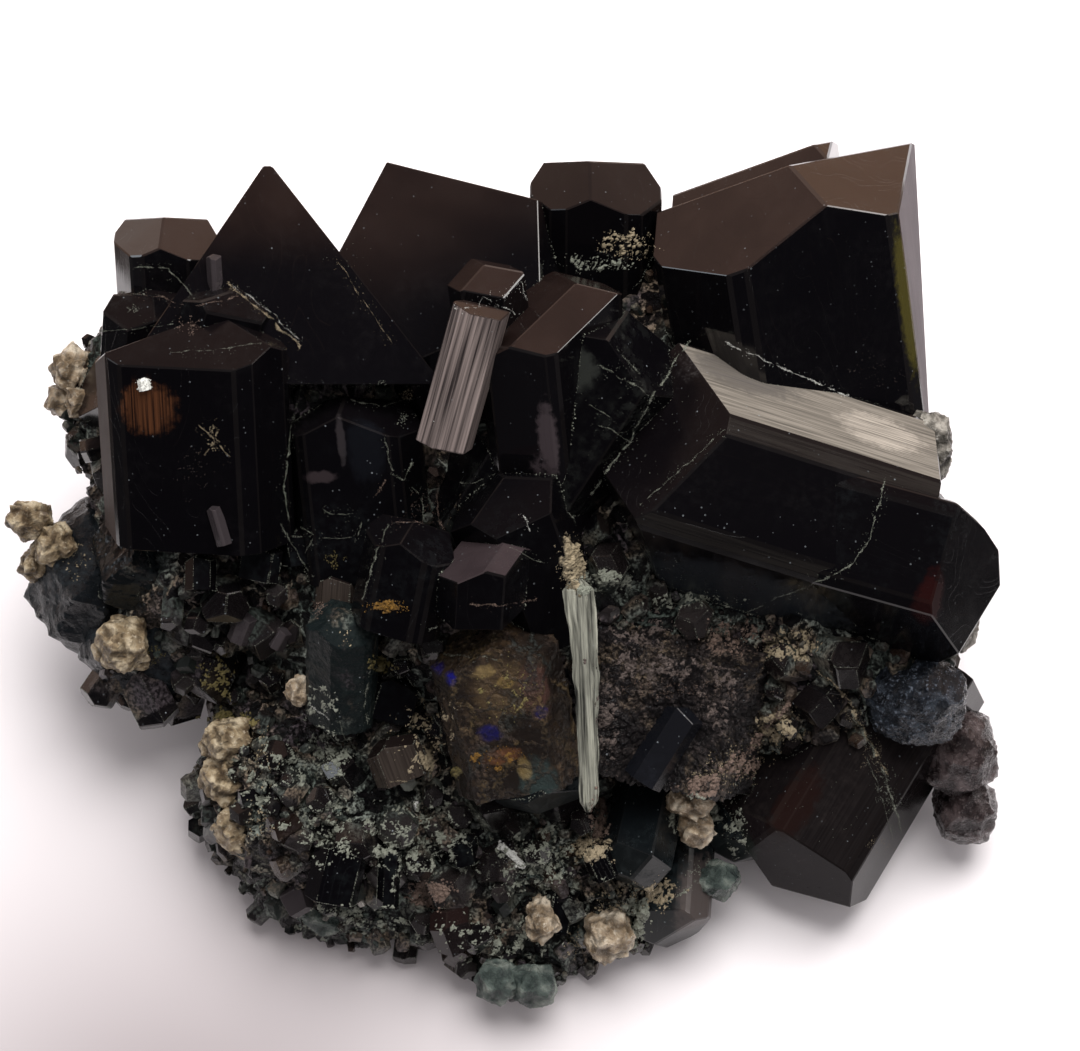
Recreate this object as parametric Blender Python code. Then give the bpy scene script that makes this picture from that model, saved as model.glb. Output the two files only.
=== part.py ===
"""A hand-sized cluster of black tourmaline: short, blocky crystals grown through one another
on a mass of small crystals, with grains of cream feldspar, lumps of smoky quartz and crusts of
hyalite opal set in it.

Lengths are in millimetres, and MM turns them to metres as each mesh is made. Everything is laid
out face on: x to the right, y up the face and z out of it. FACE_TO_WORLD then tips the face
back, so that the cluster lies on its broken underside with the resting flat at z = 0.
"""

import math
import random

import bmesh
import bpy
from mathutils import Matrix, Vector

MM = 0.001

# How the cluster lies: the face leans back this far, and its middle is this high over the flat
FACE_LEAN_DEG = 25.0
FACE_HEIGHT = 34.5
ORIGIN_X = -3.5
ORIGIN_Y = 3.55

# Tourmaline's own forms, as the angle between a tip face and the crystal's length
LOW_TIP_DEG = 27.3
STEEP_TIP_DEG = 46.0

# Room between pieces of different minerals
GAP = 0.3

# Half the size of the block that a solid is cut from
BLOCK_REACH = 60.0

# The turn that spreads directions evenly over a ball
EVEN_SPREAD_TURN = math.radians(137.508)

FACE_TO_WORLD = (
    Matrix.Translation(Vector((-ORIGIN_X, -ORIGIN_Y, FACE_HEIGHT)) * MM)
    @ Matrix.Rotation(math.radians(FACE_LEAN_DEG), 4, "X")
)


def clear_scene():
    for obj in list(bpy.data.objects):
        bpy.data.objects.remove(obj)


def stone(name, colour, roughness, transmission=0.0):
    material = bpy.data.materials.new(name)
    material.use_nodes = True
    shader = material.node_tree.nodes["Principled BSDF"]
    shader.inputs["Base Color"].default_value = (*colour, 1.0)
    shader.inputs["Roughness"].default_value = roughness
    shader.inputs["Transmission Weight"].default_value = transmission
    return material


def helper(name, mesh, matrix, group):
    """A cutter or an operand: a mesh in millimetres, placed by a face-frame matrix."""
    mesh.transform(Matrix.Scale(MM, 4))
    obj = bpy.data.objects.new(name, mesh)
    placed = matrix.copy()
    placed.translation = placed.translation * MM
    obj.matrix_world = FACE_TO_WORLD @ placed
    obj.hide_render = True
    obj.display_type = "WIRE"
    group.objects.link(obj)
    return obj


def cut_solid(name, planes):
    """The space inside every plane, each a unit normal and a distance from the origin."""
    bm = bmesh.new()
    bmesh.ops.create_cube(bm, size=2 * BLOCK_REACH)
    for normal, distance in planes:
        everything = bm.verts[:] + bm.edges[:] + bm.faces[:]
        cut = bmesh.ops.bisect_plane(
            bm, geom=everything, plane_co=normal * distance, plane_no=normal, clear_outer=True
        )
        rim = [part for part in cut["geom_cut"] if isinstance(part, bmesh.types.BMEdge)]
        if rim:
            bmesh.ops.contextual_create(bm, geom=rim)
    bmesh.ops.recalc_face_normals(bm, faces=bm.faces)
    mesh = bpy.data.meshes.new(name)
    bm.to_mesh(mesh)
    bm.free()
    return mesh


def around(turn_deg, lean_deg=90.0):
    """A unit normal that leans this far from the crystal's length, turned about it."""
    turn, lean = math.radians(turn_deg), math.radians(lean_deg)
    return Vector((math.sin(lean) * math.cos(turn), math.sin(lean) * math.sin(turn), math.cos(lean)))


def low_tip(turn=0.0, drops=(0.0, 0.0, 0.0)):
    return [(turn + 120 * k, LOW_TIP_DEG, drop) for k, drop in enumerate(drops)]


def steep_tip(turn=0.0, drops=(0.0, 0.0, 0.0)):
    return [(turn + 120 * k, STEEP_TIP_DEG, drop) for k, drop in enumerate(drops)]


def crystal_planes(sides, tips, length, spin=0.0, bevel=0.0, cuts=()):
    """Six side faces at 60 degree steps, tip faces as (turn, lean, drop), a broken foot, and
    any cuts as (turn, lean, distance)."""
    planes = [(around(spin + 60 * k), side) for k, side in enumerate(sides)]
    if bevel:
        for k, side in enumerate(sides):
            corner = (side + sides[(k + 1) % 6]) / (2 * math.cos(math.radians(30)))
            planes.append((around(spin + 30 + 60 * k), corner - bevel))
    for turn, lean, drop in tips:
        normal = around(spin + turn, lean)
        planes.append((normal, -drop * normal.z))
    for turn, lean, distance in cuts:
        planes.append((around(spin + turn, lean), distance))
    planes.append((Vector((0.0, 0.0, -1.0)), length))
    return planes


def crystal_frame(tip, lean, nod):
    """Local Z is the crystal's length towards its tip, and local X its side nearest the viewer."""
    left, forward = math.radians(lean), math.radians(nod)
    across = math.cos(forward)
    z = Vector((-math.sin(left) * across, math.cos(left) * across, math.sin(forward)))
    toward = Vector((0.0, 0.0, 1.0))
    x = (toward - z * toward.dot(z)).normalized()
    y = z.cross(x)
    matrix = Matrix((x, y, z)).transposed().to_4x4()
    matrix.translation = Vector(tip)
    return matrix


def lump_planes(radii, faces, seed, grow=0.0):
    """A rough rounded lump: planes spread over an ellipsoid, each moved in or out a little."""
    draw = random.Random(seed)
    planes = []
    for k in range(faces):
        height = 1.0 - (2.0 * k + 1.0) / faces + draw.uniform(-0.5, 0.5) / faces
        turn = EVEN_SPREAD_TURN * k + draw.uniform(-0.35, 0.35)
        level = math.sqrt(max(0.0, 1.0 - height * height))
        normal = Vector((level * math.cos(turn), level * math.sin(turn), height))
        support = math.sqrt(sum((radius * part) ** 2 for radius, part in zip(radii, normal)))
        planes.append((normal, support * draw.uniform(0.86, 1.0) + grow))
    return planes


# The large crystals, from the upper right round to the left and then down to the front. A
# crystal's length meets its end at tip, leans left of up by lean and comes forward by nod.
# Its sides run on from the face nearest the viewer, which spin turns to the right.
LARGE_CRYSTALS = {
    "top_right": dict(
        tip=(22.8, 32.9, -4), lean=10.5, nod=25, spin=16, sides=(7.3, 9.5, 26, 14, 12.9, 11.8),
        tips=low_tip(60), length=36, bevel=0.5, cuts=((74, 101.3, 14.7),),
    ),
    "top_right_blade": dict(
        tip=(25.6, 35.6, -11), lean=10.5, nod=25, spin=16, sides=(3, 1.4, 6, 8, 14, 11),
        tips=low_tip(60), length=30,
    ),
    "striated_block": dict(
        tip=(3.8, 7.8, -3.2), lean=73, nod=8.6, spin=-3, sides=(9.5, 9.6, 10.8, 9.5, 11.4, 9.2),
        tips=steep_tip(30), length=31, bevel=0.6,
    ),
    "right_point": dict(
        tip=(41.9, -2.8, -4), lean=-105.5, nod=8, spin=8, sides=(9.0, 9.2, 11.8, 8.5, 0.3, 8.2),
        tips=low_tip(0, (0, -2.5, 0)), length=28, bevel=0.4, cuts=((-98, 66.4, 1.1),),
    ),
    "lower_right": dict(
        tip=(22.0, -34.2, -16), lean=148, nod=8, spin=-8, sides=(8, 8.1, 7.6, 8, 8, 7.5),
        tips=low_tip(0) + [(60, STEEP_TIP_DEG, -4.2)], length=26, bevel=0.4,
    ),
    "centre": dict(
        tip=(3.2, 21.7, 1.5), lean=6, nod=30, spin=-15, sides=(8, 3.3, 4, 6, 9, 10.3),
        tips=low_tip(30), length=28, bevel=0.3,
    ),
    "centre_right": dict(
        tip=(7.9, 19.4, -0.8), lean=-33, nod=20, spin=0, sides=(6, 7.6, 7, 7, 7, 6),
        tips=low_tip(60), length=26,
    ),
    "slim_striated": dict(
        tip=(-5.3, 19.4, 6), lean=-16, nod=15, spin=20, sides=(2.6, 2.5, 2.5, 2.5, 2.0, 2.6),
        tips=((0, 8, 0), (180, 8, 0)), length=13,
    ),
    "top_centre": dict(
        tip=(4.6, 33.8, -9), lean=0, nod=30, spin=0, sides=(5.5, 6.5, 6, 6, 5, 5.5),
        tips=low_tip(60), length=22, bevel=0.5,
    ),
    "upper_left_large": dict(
        tip=(-14.2, 33.7, -9), lean=24, nod=30, spin=0, sides=(13, 13, 10, 8, 10, 12),
        tips=steep_tip(0), length=26,
    ),
    "pyramid": dict(
        tip=(-25.2, 33.8, -8), lean=0, nod=0, spin=0, sides=(20, 20, 20, 20, 20, 20),
        tips=((0, 74, 0), (-106, 62, 0), (106, 56, 0), (180, 80, -80)), length=21, cuts=((0, 0, -0.6),),
    ),
    "top_left_small": dict(
        tip=(-34.9, 28.6, -9), lean=0, nod=28, spin=0, sides=(4.6, 5.2, 4.5, 4, 4.5, 4.4),
        tips=low_tip(60), length=20, bevel=0.4,
    ),
    "left_block": dict(
        tip=(-29.4, 19.3, -2), lean=1, nod=20, spin=-12, sides=(6.5, 7.1, 5.6, 9, 10.5, 10.4),
        tips=low_tip(0), length=21, bevel=0.5,
    ),
    "inner_left": dict(
        tip=(-17.8, 11.9, -5), lean=5, nod=15, spin=-10, sides=(4, 6.4, 6, 6, 6, 5.4),
        tips=low_tip(60), length=17, bevel=0.3,
    ),
    "middle_dark": dict(
        tip=(-11.2, 0.5, 2), lean=-12, nod=20, spin=-10, sides=(4, 4.7, 3.5, 4, 4, 3.8),
        tips=low_tip(60), length=10, bevel=0.3,
    ),
    "middle_back": dict(
        tip=(-3.2, 4.4, 1), lean=20, nod=30, spin=10, sides=(5, 4.2, 5, 5, 5.6, 5.5),
        tips=low_tip(0), length=16,
    ),
    "middle_front": dict(
        tip=(-3.1, -1.6, 4.5), lean=-4, nod=28, spin=6, sides=(3.4, 1.6, 3, 4, 5.0, 5.4),
        tips=low_tip(30), length=7,
    ),
    "green_block": dict(
        tip=(-18.0, -7.6, -0.5), lean=-3, nod=35, spin=20, sides=(3.4, 3.4, 3.2, 3, 3, 2.9),
        tips=low_tip(0), length=12, bevel=0.3,
    ),
    "smoky_block": dict(
        tip=(-4.6, -8.6, -1), lean=12, nod=18, spin=-6, sides=(4.2, 5.4, 5, 5, 5, 5.8),
        tips=low_tip(60), length=16,
    ),
    "teal_foot": dict(
        tip=(-0.2, -26.5, -5.5), lean=186, nod=6, spin=14, sides=(3.8, 3.2, 4, 4, 4, 3.4),
        tips=low_tip(60), length=12,
    ),
    "etched": dict(
        tip=(14.4, -7.4, -9), lean=-14, nod=10, spin=6, sides=(7, 8.5, 9, 9, 9, 11),
        tips=low_tip(0), length=16.5, bevel=0.5,
    ),
    "long_strip": dict(
        tip=(2.7, -4.4, 2), lean=5, nod=5, spin=10, sides=(1.6, 2.2, 3, 3, 3, 2.2),
        tips=low_tip(0), length=22,
    ),
    "front_right": dict(
        tip=(10.8, -39.5, -14), lean=175, nod=25, spin=20, sides=(4, 2.3, 4, 4, 4.6, 5.3),
        tips=low_tip(0), length=14, bevel=0.3,
    ),
    "front_dark": dict(
        tip=(4.5, -40.0, -16), lean=180, nod=30, spin=0, sides=(2.5, 3, 3, 3, 3, 3),
        tips=low_tip(0), length=12,
    ),
    "front_upper": dict(
        tip=(8.4, -32.6, -7), lean=165, nod=40, spin=10, sides=(3, 3, 3, 3, 3, 3),
        tips=low_tip(30), length=12,
    ),
    "front_green": dict(
        tip=(18.3, -32.0, -16), lean=166, nod=12, spin=25, sides=(3.4, 3.6, 4, 4, 3.4, 3.2),
        tips=low_tip(0), length=15,
    ),
    "left_step": dict(
        tip=(-34.6, 24.0, -9), lean=6, nod=34, spin=-8, sides=(4, 4.6, 4, 4, 4.4, 4.4),
        tips=low_tip(30), length=14,
    ),
    "left_ledge": dict(
        tip=(-35.6, 21.2, -6.5), lean=-8, nod=30, spin=14, sides=(3.4, 4, 4, 4, 4, 3.8),
        tips=low_tip(60), length=12,
    ),
    "inner_ledge": dict(
        tip=(-27.4, 21.6, -3.5), lean=-20, nod=22, spin=24, sides=(3.2, 3.4, 3, 3, 4, 4.4),
        tips=low_tip(0), length=10,
    ),
    "small_brown_top": dict(
        tip=(-5.0, 23.4, 1), lean=8, nod=32, spin=-12, sides=(3.0, 3.2, 3, 3, 3.2, 3.2),
        tips=low_tip(30), length=12,
    ),
    "left_lobe": dict(
        tip=(-42.0, -1.0, -12), lean=70, nod=20, spin=20, sides=(5.5, 5.5, 5, 5, 5, 5.5),
        tips=low_tip(0), length=16,
    ),
    "left_toe": dict(
        tip=(-43.2, -7.4, -17), lean=112, nod=10, spin=-14, sides=(4.5, 4.5, 4.5, 5, 5, 4.5),
        tips=low_tip(30), length=16,
    ),
    "left_back": dict(
        tip=(-41.8, 15.6, -13), lean=50, nod=20, spin=0, sides=(4.5, 4.5, 4, 4, 4.5, 4.5),
        tips=low_tip(60), length=16,
    ),
}

# The matrix that the crystals grew from: rounded lumps as (centre, radii, faces)
MATRIX_LUMPS = (
    ((0, -4, -20), (33, 25, 16), 44),
    ((-31, -2, -18), (13, 13, 11), 30),
    ((-42, -5, -19), (6, 8, 7), 24),
    ((-37, -11, -19), (8, 6, 7), 24),
    ((-39, 10, -19), (6, 10, 8), 24),
    ((-15, -25, -20), (19.5, 16.5, 12.5), 36),
    ((-2, -36, -18), (9, 9.5, 6), 24),
    ((1, -32, -20), (17, 11, 10), 30),
    ((27, -9, -18), (14, 17, 13), 30),
    ((-22, 12.5, -20), (17, 11.5, 14), 30),
    ((18, 14, -20), (19, 17, 14), 30),
    ((2, 6, -35), (28, 22, 13), 34),
)

# Grains of other minerals, each grown of one or more lumps, as (centre, radii), and how many
# facets each kind's lumps have
FELDSPAR_FACETS = 18
QUARTZ_FACETS = 26
HYALITE_FACETS = 18
FELDSPAR_GRAINS = {
    "feldspar_left_edge": (
        ((-48.3, 0.5, -15), (2.5, 1.9, 2.6)),
        ((-45.8, -1.8, -15), (2.3, 2.4, 2.8)),
        ((-47.8, -3.8, -17), (1.9, 1.8, 2.4)),
    ),
    "feldspar_upper_left": (
        ((-44.4, 14.8, -16), (2.2, 2.5, 2.6)),
        ((-43.2, 11.7, -15.5), (1.8, 1.9, 2.4)),
        ((-45.7, 12.0, -17.5), (1.7, 1.7, 2.2)),
    ),
    "feldspar_lower_left": (((-39.0, -11.0, -12.0), (2.7, 3.0, 3.4)),),
    "feldspar_front_left": (
        ((-29.3, -20.2, -13.5), (2.7, 2.4, 3.0)),
        ((-29.8, -23.8, -14.0), (2.7, 2.7, 3.2)),
        ((-28.0, -28.4, -14.5), (2.8, 3.2, 3.6)),
    ),
    "feldspar_chip": (((-22.0, -15.2, -6.5), (1.5, 1.7, 2.0)),),
    "feldspar_front": (((0.1, -36.8, -11.5), (1.7, 2.5, 2.6)),),
    "feldspar_front_right": (((6.4, -38.4, -12.5), (2.8, 2.6, 3.0)),),
    "feldspar_crust": (
        ((14.0, -25.6, -9.5), (2.6, 1.8, 2.6)),
        ((14.6, -28.2, -10.5), (2.0, 2.0, 2.6)),
    ),
}
QUARTZ_LUMPS = {
    "smoky_quartz_upper": (((34.8, -16.2, -9.0), (5.2, 4.4, 5.0)),),
    "smoky_quartz_lower": (
        ((39.4, -21.4, -17), (4.2, 4.6, 5.0)),
        ((40.6, -27.2, -19), (3.4, 3.4, 4.2)),
    ),
    "quartz_chip": (((35.8, 7.2, -8.5), (2.6, 3.6, 3.2)),),
    "quartz_splinter": (((39.6, -9.6, -14), (1.7, 2.6, 2.6)),),
}
HYALITE_CRUSTS = {
    "hyalite_front_left": (
        ((-20.4, -36.8, -17.0), (3.0, 2.0, 3.0)),
        ((-16.6, -37.0, -17.0), (2.8, 2.2, 3.0)),
    ),
    "hyalite_front": (
        ((-3.9, -42.9, -12.9), (2.3, 2.3, 2.4)),
        ((-0.7, -43.1, -12.7), (2.5, 2.2, 2.4)),
    ),
    "hyalite_foot": (((16.6, -33.4, -14.5), (2.6, 1.9, 2.4)),),
}

# The smaller crystals that cover the matrix, in two sizes: how many at most, their half widths,
# how far they stand out, how far apart they are and how far from a large crystal. None stands
# higher up the face than COVERED_UP_TO. Each leans up to WANDER from the surface's normal and
# reaches ROOT into the matrix.
COVERED_UP_TO = 17.0
WANDER = 0.8
ROOT = 1.5
SPOTS_TRIED = 2600
COVERING = (
    dict(kind="medium", most=44, half_width=(1.6, 2.7), stand_out=(1.0, 2.4), apart=4.8, clear=2.0),
    dict(kind="small", most=60, half_width=(0.9, 1.6), stand_out=(0.8, 1.8), apart=3.2, clear=0.9),
)


def outside(point, matrix, planes):
    """How far a face-frame point is outside a solid made of planes, or a negative depth."""
    local = matrix.inverted() @ point
    return max(normal.dot(local) - distance for normal, distance in planes)


def scattered(lumps, draw, count):
    """Points spread evenly over the outside of the lumps, each with the surface's normal."""
    triangles = []
    areas = []
    for index, (mesh, matrix, _planes) in enumerate(lumps):
        mesh.calc_loop_triangles()
        for triangle in mesh.loop_triangles:
            corners = [matrix @ mesh.vertices[k].co for k in triangle.vertices]
            triangles.append((index, corners, matrix.to_3x3() @ triangle.normal))
            areas.append(triangle.area)
    for index, corners, normal in draw.choices(triangles, weights=areas, k=count):
        first, second = draw.random(), draw.random()
        if first + second > 1.0:
            first, second = 1.0 - first, 1.0 - second
        a, b, c = corners
        spot = a + (b - a) * first + (c - a) * second
        buried = any(
            outside(spot, matrix, planes) < -GAP
            for other, (_mesh, matrix, planes) in enumerate(lumps)
            if other != index
        )
        if not buried:
            yield spot, normal


def cover_with_crystals(lumps, large, grains, group):
    """Crystals stand on the matrix at all angles wherever nothing larger covers it."""
    draw = random.Random(41)
    placed = []
    for size in COVERING:
        made = 0
        for spot, normal in scattered(lumps, draw, SPOTS_TRIED):
            half_width = draw.uniform(*size["half_width"])
            stand_out = draw.uniform(*size["stand_out"])
            wander = Vector((draw.uniform(-1, 1), draw.uniform(-1, 1), draw.uniform(-1, 1)))
            spin = draw.uniform(0, 60)
            shape = [draw.uniform(0.78, 1.15) for _side in range(6)]
            turn = draw.choice((0, 30, 60))
            if made >= size["most"] or spot.y > COVERED_UP_TO:
                continue
            if (FACE_TO_WORLD @ (spot * MM)).z < half_width * MM:
                continue
            if min(outside(spot, matrix, planes) for matrix, planes in large) < size["clear"]:
                continue
            if any((spot - place).xy.length < reach + half_width for place, reach in grains):
                continue
            if any((spot - other).length < size["apart"] for other in placed):
                continue
            z = (2 * normal + WANDER * wander).normalized()
            x = z.orthogonal().normalized()
            matrix = Matrix((x, z.cross(x), z)).transposed().to_4x4()
            matrix.translation = spot + z * stand_out
            sides = [half_width * part for part in shape]
            length = stand_out + half_width + ROOT
            planes = crystal_planes(sides, low_tip(turn), length, spin)
            helper(f"{size['kind']}_{made:03d}", cut_solid("covering", planes), matrix, group)
            placed.append(spot)
            made += 1


def lump_group(name, lumps, facets, grow, group):
    """The lumps of one grain, each a helper; the same seed gives the same facets when grown."""
    for k, (centre, radii) in enumerate(lumps):
        seed = sum(ord(letter) for letter in name) + 7 * k
        mesh = cut_solid(name, lump_planes(radii, facets, seed, grow))
        kind = "pocket" if grow else "lump"
        helper(f"{name}_{kind}_{k}", mesh, Matrix.Translation(Vector(centre)), group)


def largest_body(bm):
    """Removes every shell but the one with the most faces, such as the wall of a closed void."""
    left = set(bm.faces)
    bodies = []
    while left:
        stack = [left.pop()]
        body = []
        while stack:
            face = stack.pop()
            body.append(face)
            for edge in face.edges:
                for linked in edge.link_faces:
                    if linked in left:
                        left.remove(linked)
                        stack.append(linked)
        bodies.append(body)
    bodies.sort(key=len)
    for body in bodies[:-1]:
        bmesh.ops.delete(bm, geom=body, context="FACES")
    loose = [vert for vert in bm.verts if not vert.link_faces]
    bmesh.ops.delete(bm, geom=loose, context="VERTS")


def joined(name, operands, cutters, material):
    """One solid from overlapping helpers, less the cutters, kept as a plain mesh."""
    first = operands.objects[0]
    source = bpy.data.objects.new(name, first.data.copy())
    source.matrix_world = first.matrix_world
    bpy.context.scene.collection.objects.link(source)
    rest = bpy.data.collections.new(f"{name}_rest")
    for obj in operands.objects[1:]:
        rest.objects.link(obj)
    if rest.objects:
        union = source.modifiers.new("grown together", "BOOLEAN")
        union.operation = "UNION"
        union.solver = "EXACT"
        union.operand_type = "COLLECTION"
        union.collection = rest
    if cutters is not None and cutters.objects:
        cut = source.modifiers.new("room for the rest", "BOOLEAN")
        cut.operation = "DIFFERENCE"
        cut.solver = "EXACT"
        cut.operand_type = "COLLECTION"
        cut.collection = cutters
    bpy.context.view_layer.update()
    graph = bpy.context.evaluated_depsgraph_get()
    bm = bmesh.new()
    bm.from_mesh(bpy.data.meshes.new_from_object(source.evaluated_get(graph)))
    largest_body(bm)
    mesh = bpy.data.meshes.new(name)
    bm.to_mesh(mesh)
    bm.free()
    source.modifiers.clear()
    source.data = mesh
    mesh.materials.clear()
    mesh.materials.append(material)
    return source


def collection(name):
    made = bpy.data.collections.new(name)
    bpy.context.scene.collection.children.link(made)
    return made


def main():
    clear_scene()
    black_tourmaline = stone("black tourmaline", (0.012, 0.011, 0.013), 0.12)
    cream_feldspar = stone("cream feldspar", (0.55, 0.45, 0.32), 0.55)
    smoky_quartz = stone("smoky quartz", (0.25, 0.22, 0.22), 0.15, 0.5)
    hyalite = stone("hyalite opal", (0.35, 0.42, 0.38), 0.2, 0.5)

    cluster_parts = collection("cluster parts")
    pockets = collection("pockets")

    lumps = []
    for k, (centre, radii, faces) in enumerate(MATRIX_LUMPS):
        planes = lump_planes(radii, faces, 11 + k)
        matrix = Matrix.Translation(Vector(centre))
        mesh = cut_solid("matrix", planes)
        lumps.append((mesh.copy(), matrix, planes))
        helper(f"matrix_{k}", mesh, matrix, cluster_parts)

    large = []
    for name, made in LARGE_CRYSTALS.items():
        planes = crystal_planes(
            made["sides"], made["tips"], made["length"],
            made["spin"], made.get("bevel", 0.0), made.get("cuts", ()),
        )
        matrix = crystal_frame(made["tip"], made["lean"], made["nod"])
        helper(f"crystal_{name}", cut_solid(name, planes), matrix, cluster_parts)
        large.append((matrix, planes))

    grains = [
        (FELDSPAR_GRAINS, cream_feldspar, FELDSPAR_FACETS),
        (QUARTZ_LUMPS, smoky_quartz, QUARTZ_FACETS),
        (HYALITE_CRUSTS, hyalite, HYALITE_FACETS),
    ]
    reaches = [
        (Vector(centre), max(radii))
        for table, _material, _facets in grains
        for grown in table.values()
        for centre, radii in grown
    ]
    cover_with_crystals(lumps, large, reaches, cluster_parts)

    # The resting flat: everything below z = 0 is cut away
    below = bmesh.new()
    bmesh.ops.create_cube(below, size=2 * BLOCK_REACH)
    table = bpy.data.meshes.new("table")
    below.to_mesh(table)
    below.free()
    under_flat = FACE_TO_WORLD.copy()
    under_flat.translation = (0.0, 0.0, 0.0)
    lowered = Matrix.Translation(Vector((ORIGIN_X, ORIGIN_Y, -FACE_HEIGHT - BLOCK_REACH)))
    helper("cut_table", table, under_flat.inverted() @ lowered, pockets)

    for grain_table, material, facets in grains:
        for name, parts in grain_table.items():
            grown = collection(name)
            lump_group(name, parts, facets, 0.0, grown)
            lump_group(name, parts, facets, GAP, pockets)
            joined(name, grown, None, material)
    joined("tourmaline_cluster", cluster_parts, pockets, black_tourmaline)


main()
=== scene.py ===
"""A hand-sized cluster of black tourmaline with feldspar, smoky quartz and hyalite opal.

Lengths are in millimetres in the specimen's own face frame, x to the right, y up the face and z out
of it, and SPECIMEN turns them to metres as the specimen lies on its broken underside.
"""

import math
import random

import bmesh
import bpy
import numpy as np
from mathutils import Matrix, Vector, noise
from mathutils.bvhtree import BVHTree


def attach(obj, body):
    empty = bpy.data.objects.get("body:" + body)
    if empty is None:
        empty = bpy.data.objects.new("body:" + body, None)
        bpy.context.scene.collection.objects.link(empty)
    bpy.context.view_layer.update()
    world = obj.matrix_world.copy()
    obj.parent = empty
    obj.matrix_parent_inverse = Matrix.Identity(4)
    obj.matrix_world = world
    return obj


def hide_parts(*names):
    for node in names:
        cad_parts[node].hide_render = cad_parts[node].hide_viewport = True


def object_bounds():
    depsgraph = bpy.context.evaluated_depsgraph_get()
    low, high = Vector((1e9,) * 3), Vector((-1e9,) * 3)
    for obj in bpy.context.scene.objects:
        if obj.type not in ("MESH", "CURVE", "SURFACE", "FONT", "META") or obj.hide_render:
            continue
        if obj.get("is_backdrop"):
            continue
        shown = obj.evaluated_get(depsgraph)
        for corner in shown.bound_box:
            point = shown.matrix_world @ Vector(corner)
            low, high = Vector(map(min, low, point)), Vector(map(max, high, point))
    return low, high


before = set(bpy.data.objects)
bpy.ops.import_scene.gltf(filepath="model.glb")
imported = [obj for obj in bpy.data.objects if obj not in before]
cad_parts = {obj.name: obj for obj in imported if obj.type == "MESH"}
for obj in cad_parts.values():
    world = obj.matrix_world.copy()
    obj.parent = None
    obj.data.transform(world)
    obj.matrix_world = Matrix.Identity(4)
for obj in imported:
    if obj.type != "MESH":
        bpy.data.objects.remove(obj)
cad_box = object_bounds()

# How the specimen lies: its face leans back from upright to look up at whoever holds the camera,
# and the underside is cut flat where it meets the table.
FACE_LEAN_DEG = 25.0
FACE_MIDDLE = Vector((3.5, -3.55, 34.5))
MM = 0.001
SPECIMEN = (
    Matrix.Scale(MM, 4)
    @ Matrix.Translation(FACE_MIDDLE)
    @ Matrix.Rotation(math.radians(FACE_LEAN_DEG), 4, "X")
)

# The camera looks straight at the face from 300 mm, and a pixel is 0.09 mm wide at the face
CAMERA_AWAY = 300.0
PIXEL = 0.09
IMAGE_WIDE, IMAGE_HIGH = 1080, 1051
SENSOR = 36.0
camera_data = bpy.data.cameras.new("camera")
camera_data.sensor_width = SENSOR
camera_data.sensor_fit = "HORIZONTAL"
camera_data.lens = SENSOR * CAMERA_AWAY / (IMAGE_WIDE * PIXEL)
camera_data.clip_start = 0.01
camera = bpy.data.objects.new("camera", camera_data)
camera.location = SPECIMEN @ Vector((0, 0, CAMERA_AWAY))
camera.rotation_euler = (math.radians(FACE_LEAN_DEG), 0, 0)
bpy.context.collection.objects.link(camera)
bpy.context.scene.camera = camera
bpy.context.scene.view_settings.view_transform = "Standard"


# The floor: a pale board, matt, so that it carries the soft shadow, and a painted shadow greys its paint
# towards the near left. It ends just out of the frame, and the polished faces mirror the room beyond it.
BOARD_HALF_WIDTH = 0.075
BOARD_FRONT, BOARD_BACK = -0.06, 0.09


def linear(hex_colour):
    """An sRGB hex colour as linear red, green, blue and alpha."""
    parts = [int(hex_colour[k : k + 2], 16) / 255 for k in (1, 3, 5)]
    curve = [part / 12.92 if part <= 0.04045 else ((part + 0.055) / 1.055) ** 2.4 for part in parts]
    return (*curve, 1.0)


def add(tree, kind, inputs=None, stops=(), **settings):
    """A node with its settings. Its inputs are set to values, or linked to sockets or to the first
    output in use of other nodes. Stops are a colour ramp's, as (position, colour)."""
    made = tree.nodes.new("ShaderNode" + kind)
    for name, value in settings.items():
        setattr(made, name, value)
    for name, value in (inputs or {}).items():
        if isinstance(value, bpy.types.Node):
            value = next(output for output in value.outputs if output.enabled)
        if isinstance(value, bpy.types.NodeSocket):
            tree.links.new(value, made.inputs[name])
        else:
            made.inputs[name].default_value = value
    for _stop in stops[2:]:
        made.color_ramp.elements.new(0.5)
    for k, (position, colour) in enumerate(stops):
        made.color_ramp.elements[k].position = position
        made.color_ramp.elements[k].color = colour
    return made


SOFTLY = {"interpolation_type": "SMOOTHSTEP"}


def fresh_material(name):
    """A new material, its tree and its Principled shader."""
    material = bpy.data.materials.new(name)
    material.use_nodes = True
    return material, material.node_tree, material.node_tree.nodes["Principled BSDF"]


# Painted shadow: the board's paint turns from pale to grey towards this spot at the specimen's near left,
# within this reach
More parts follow.
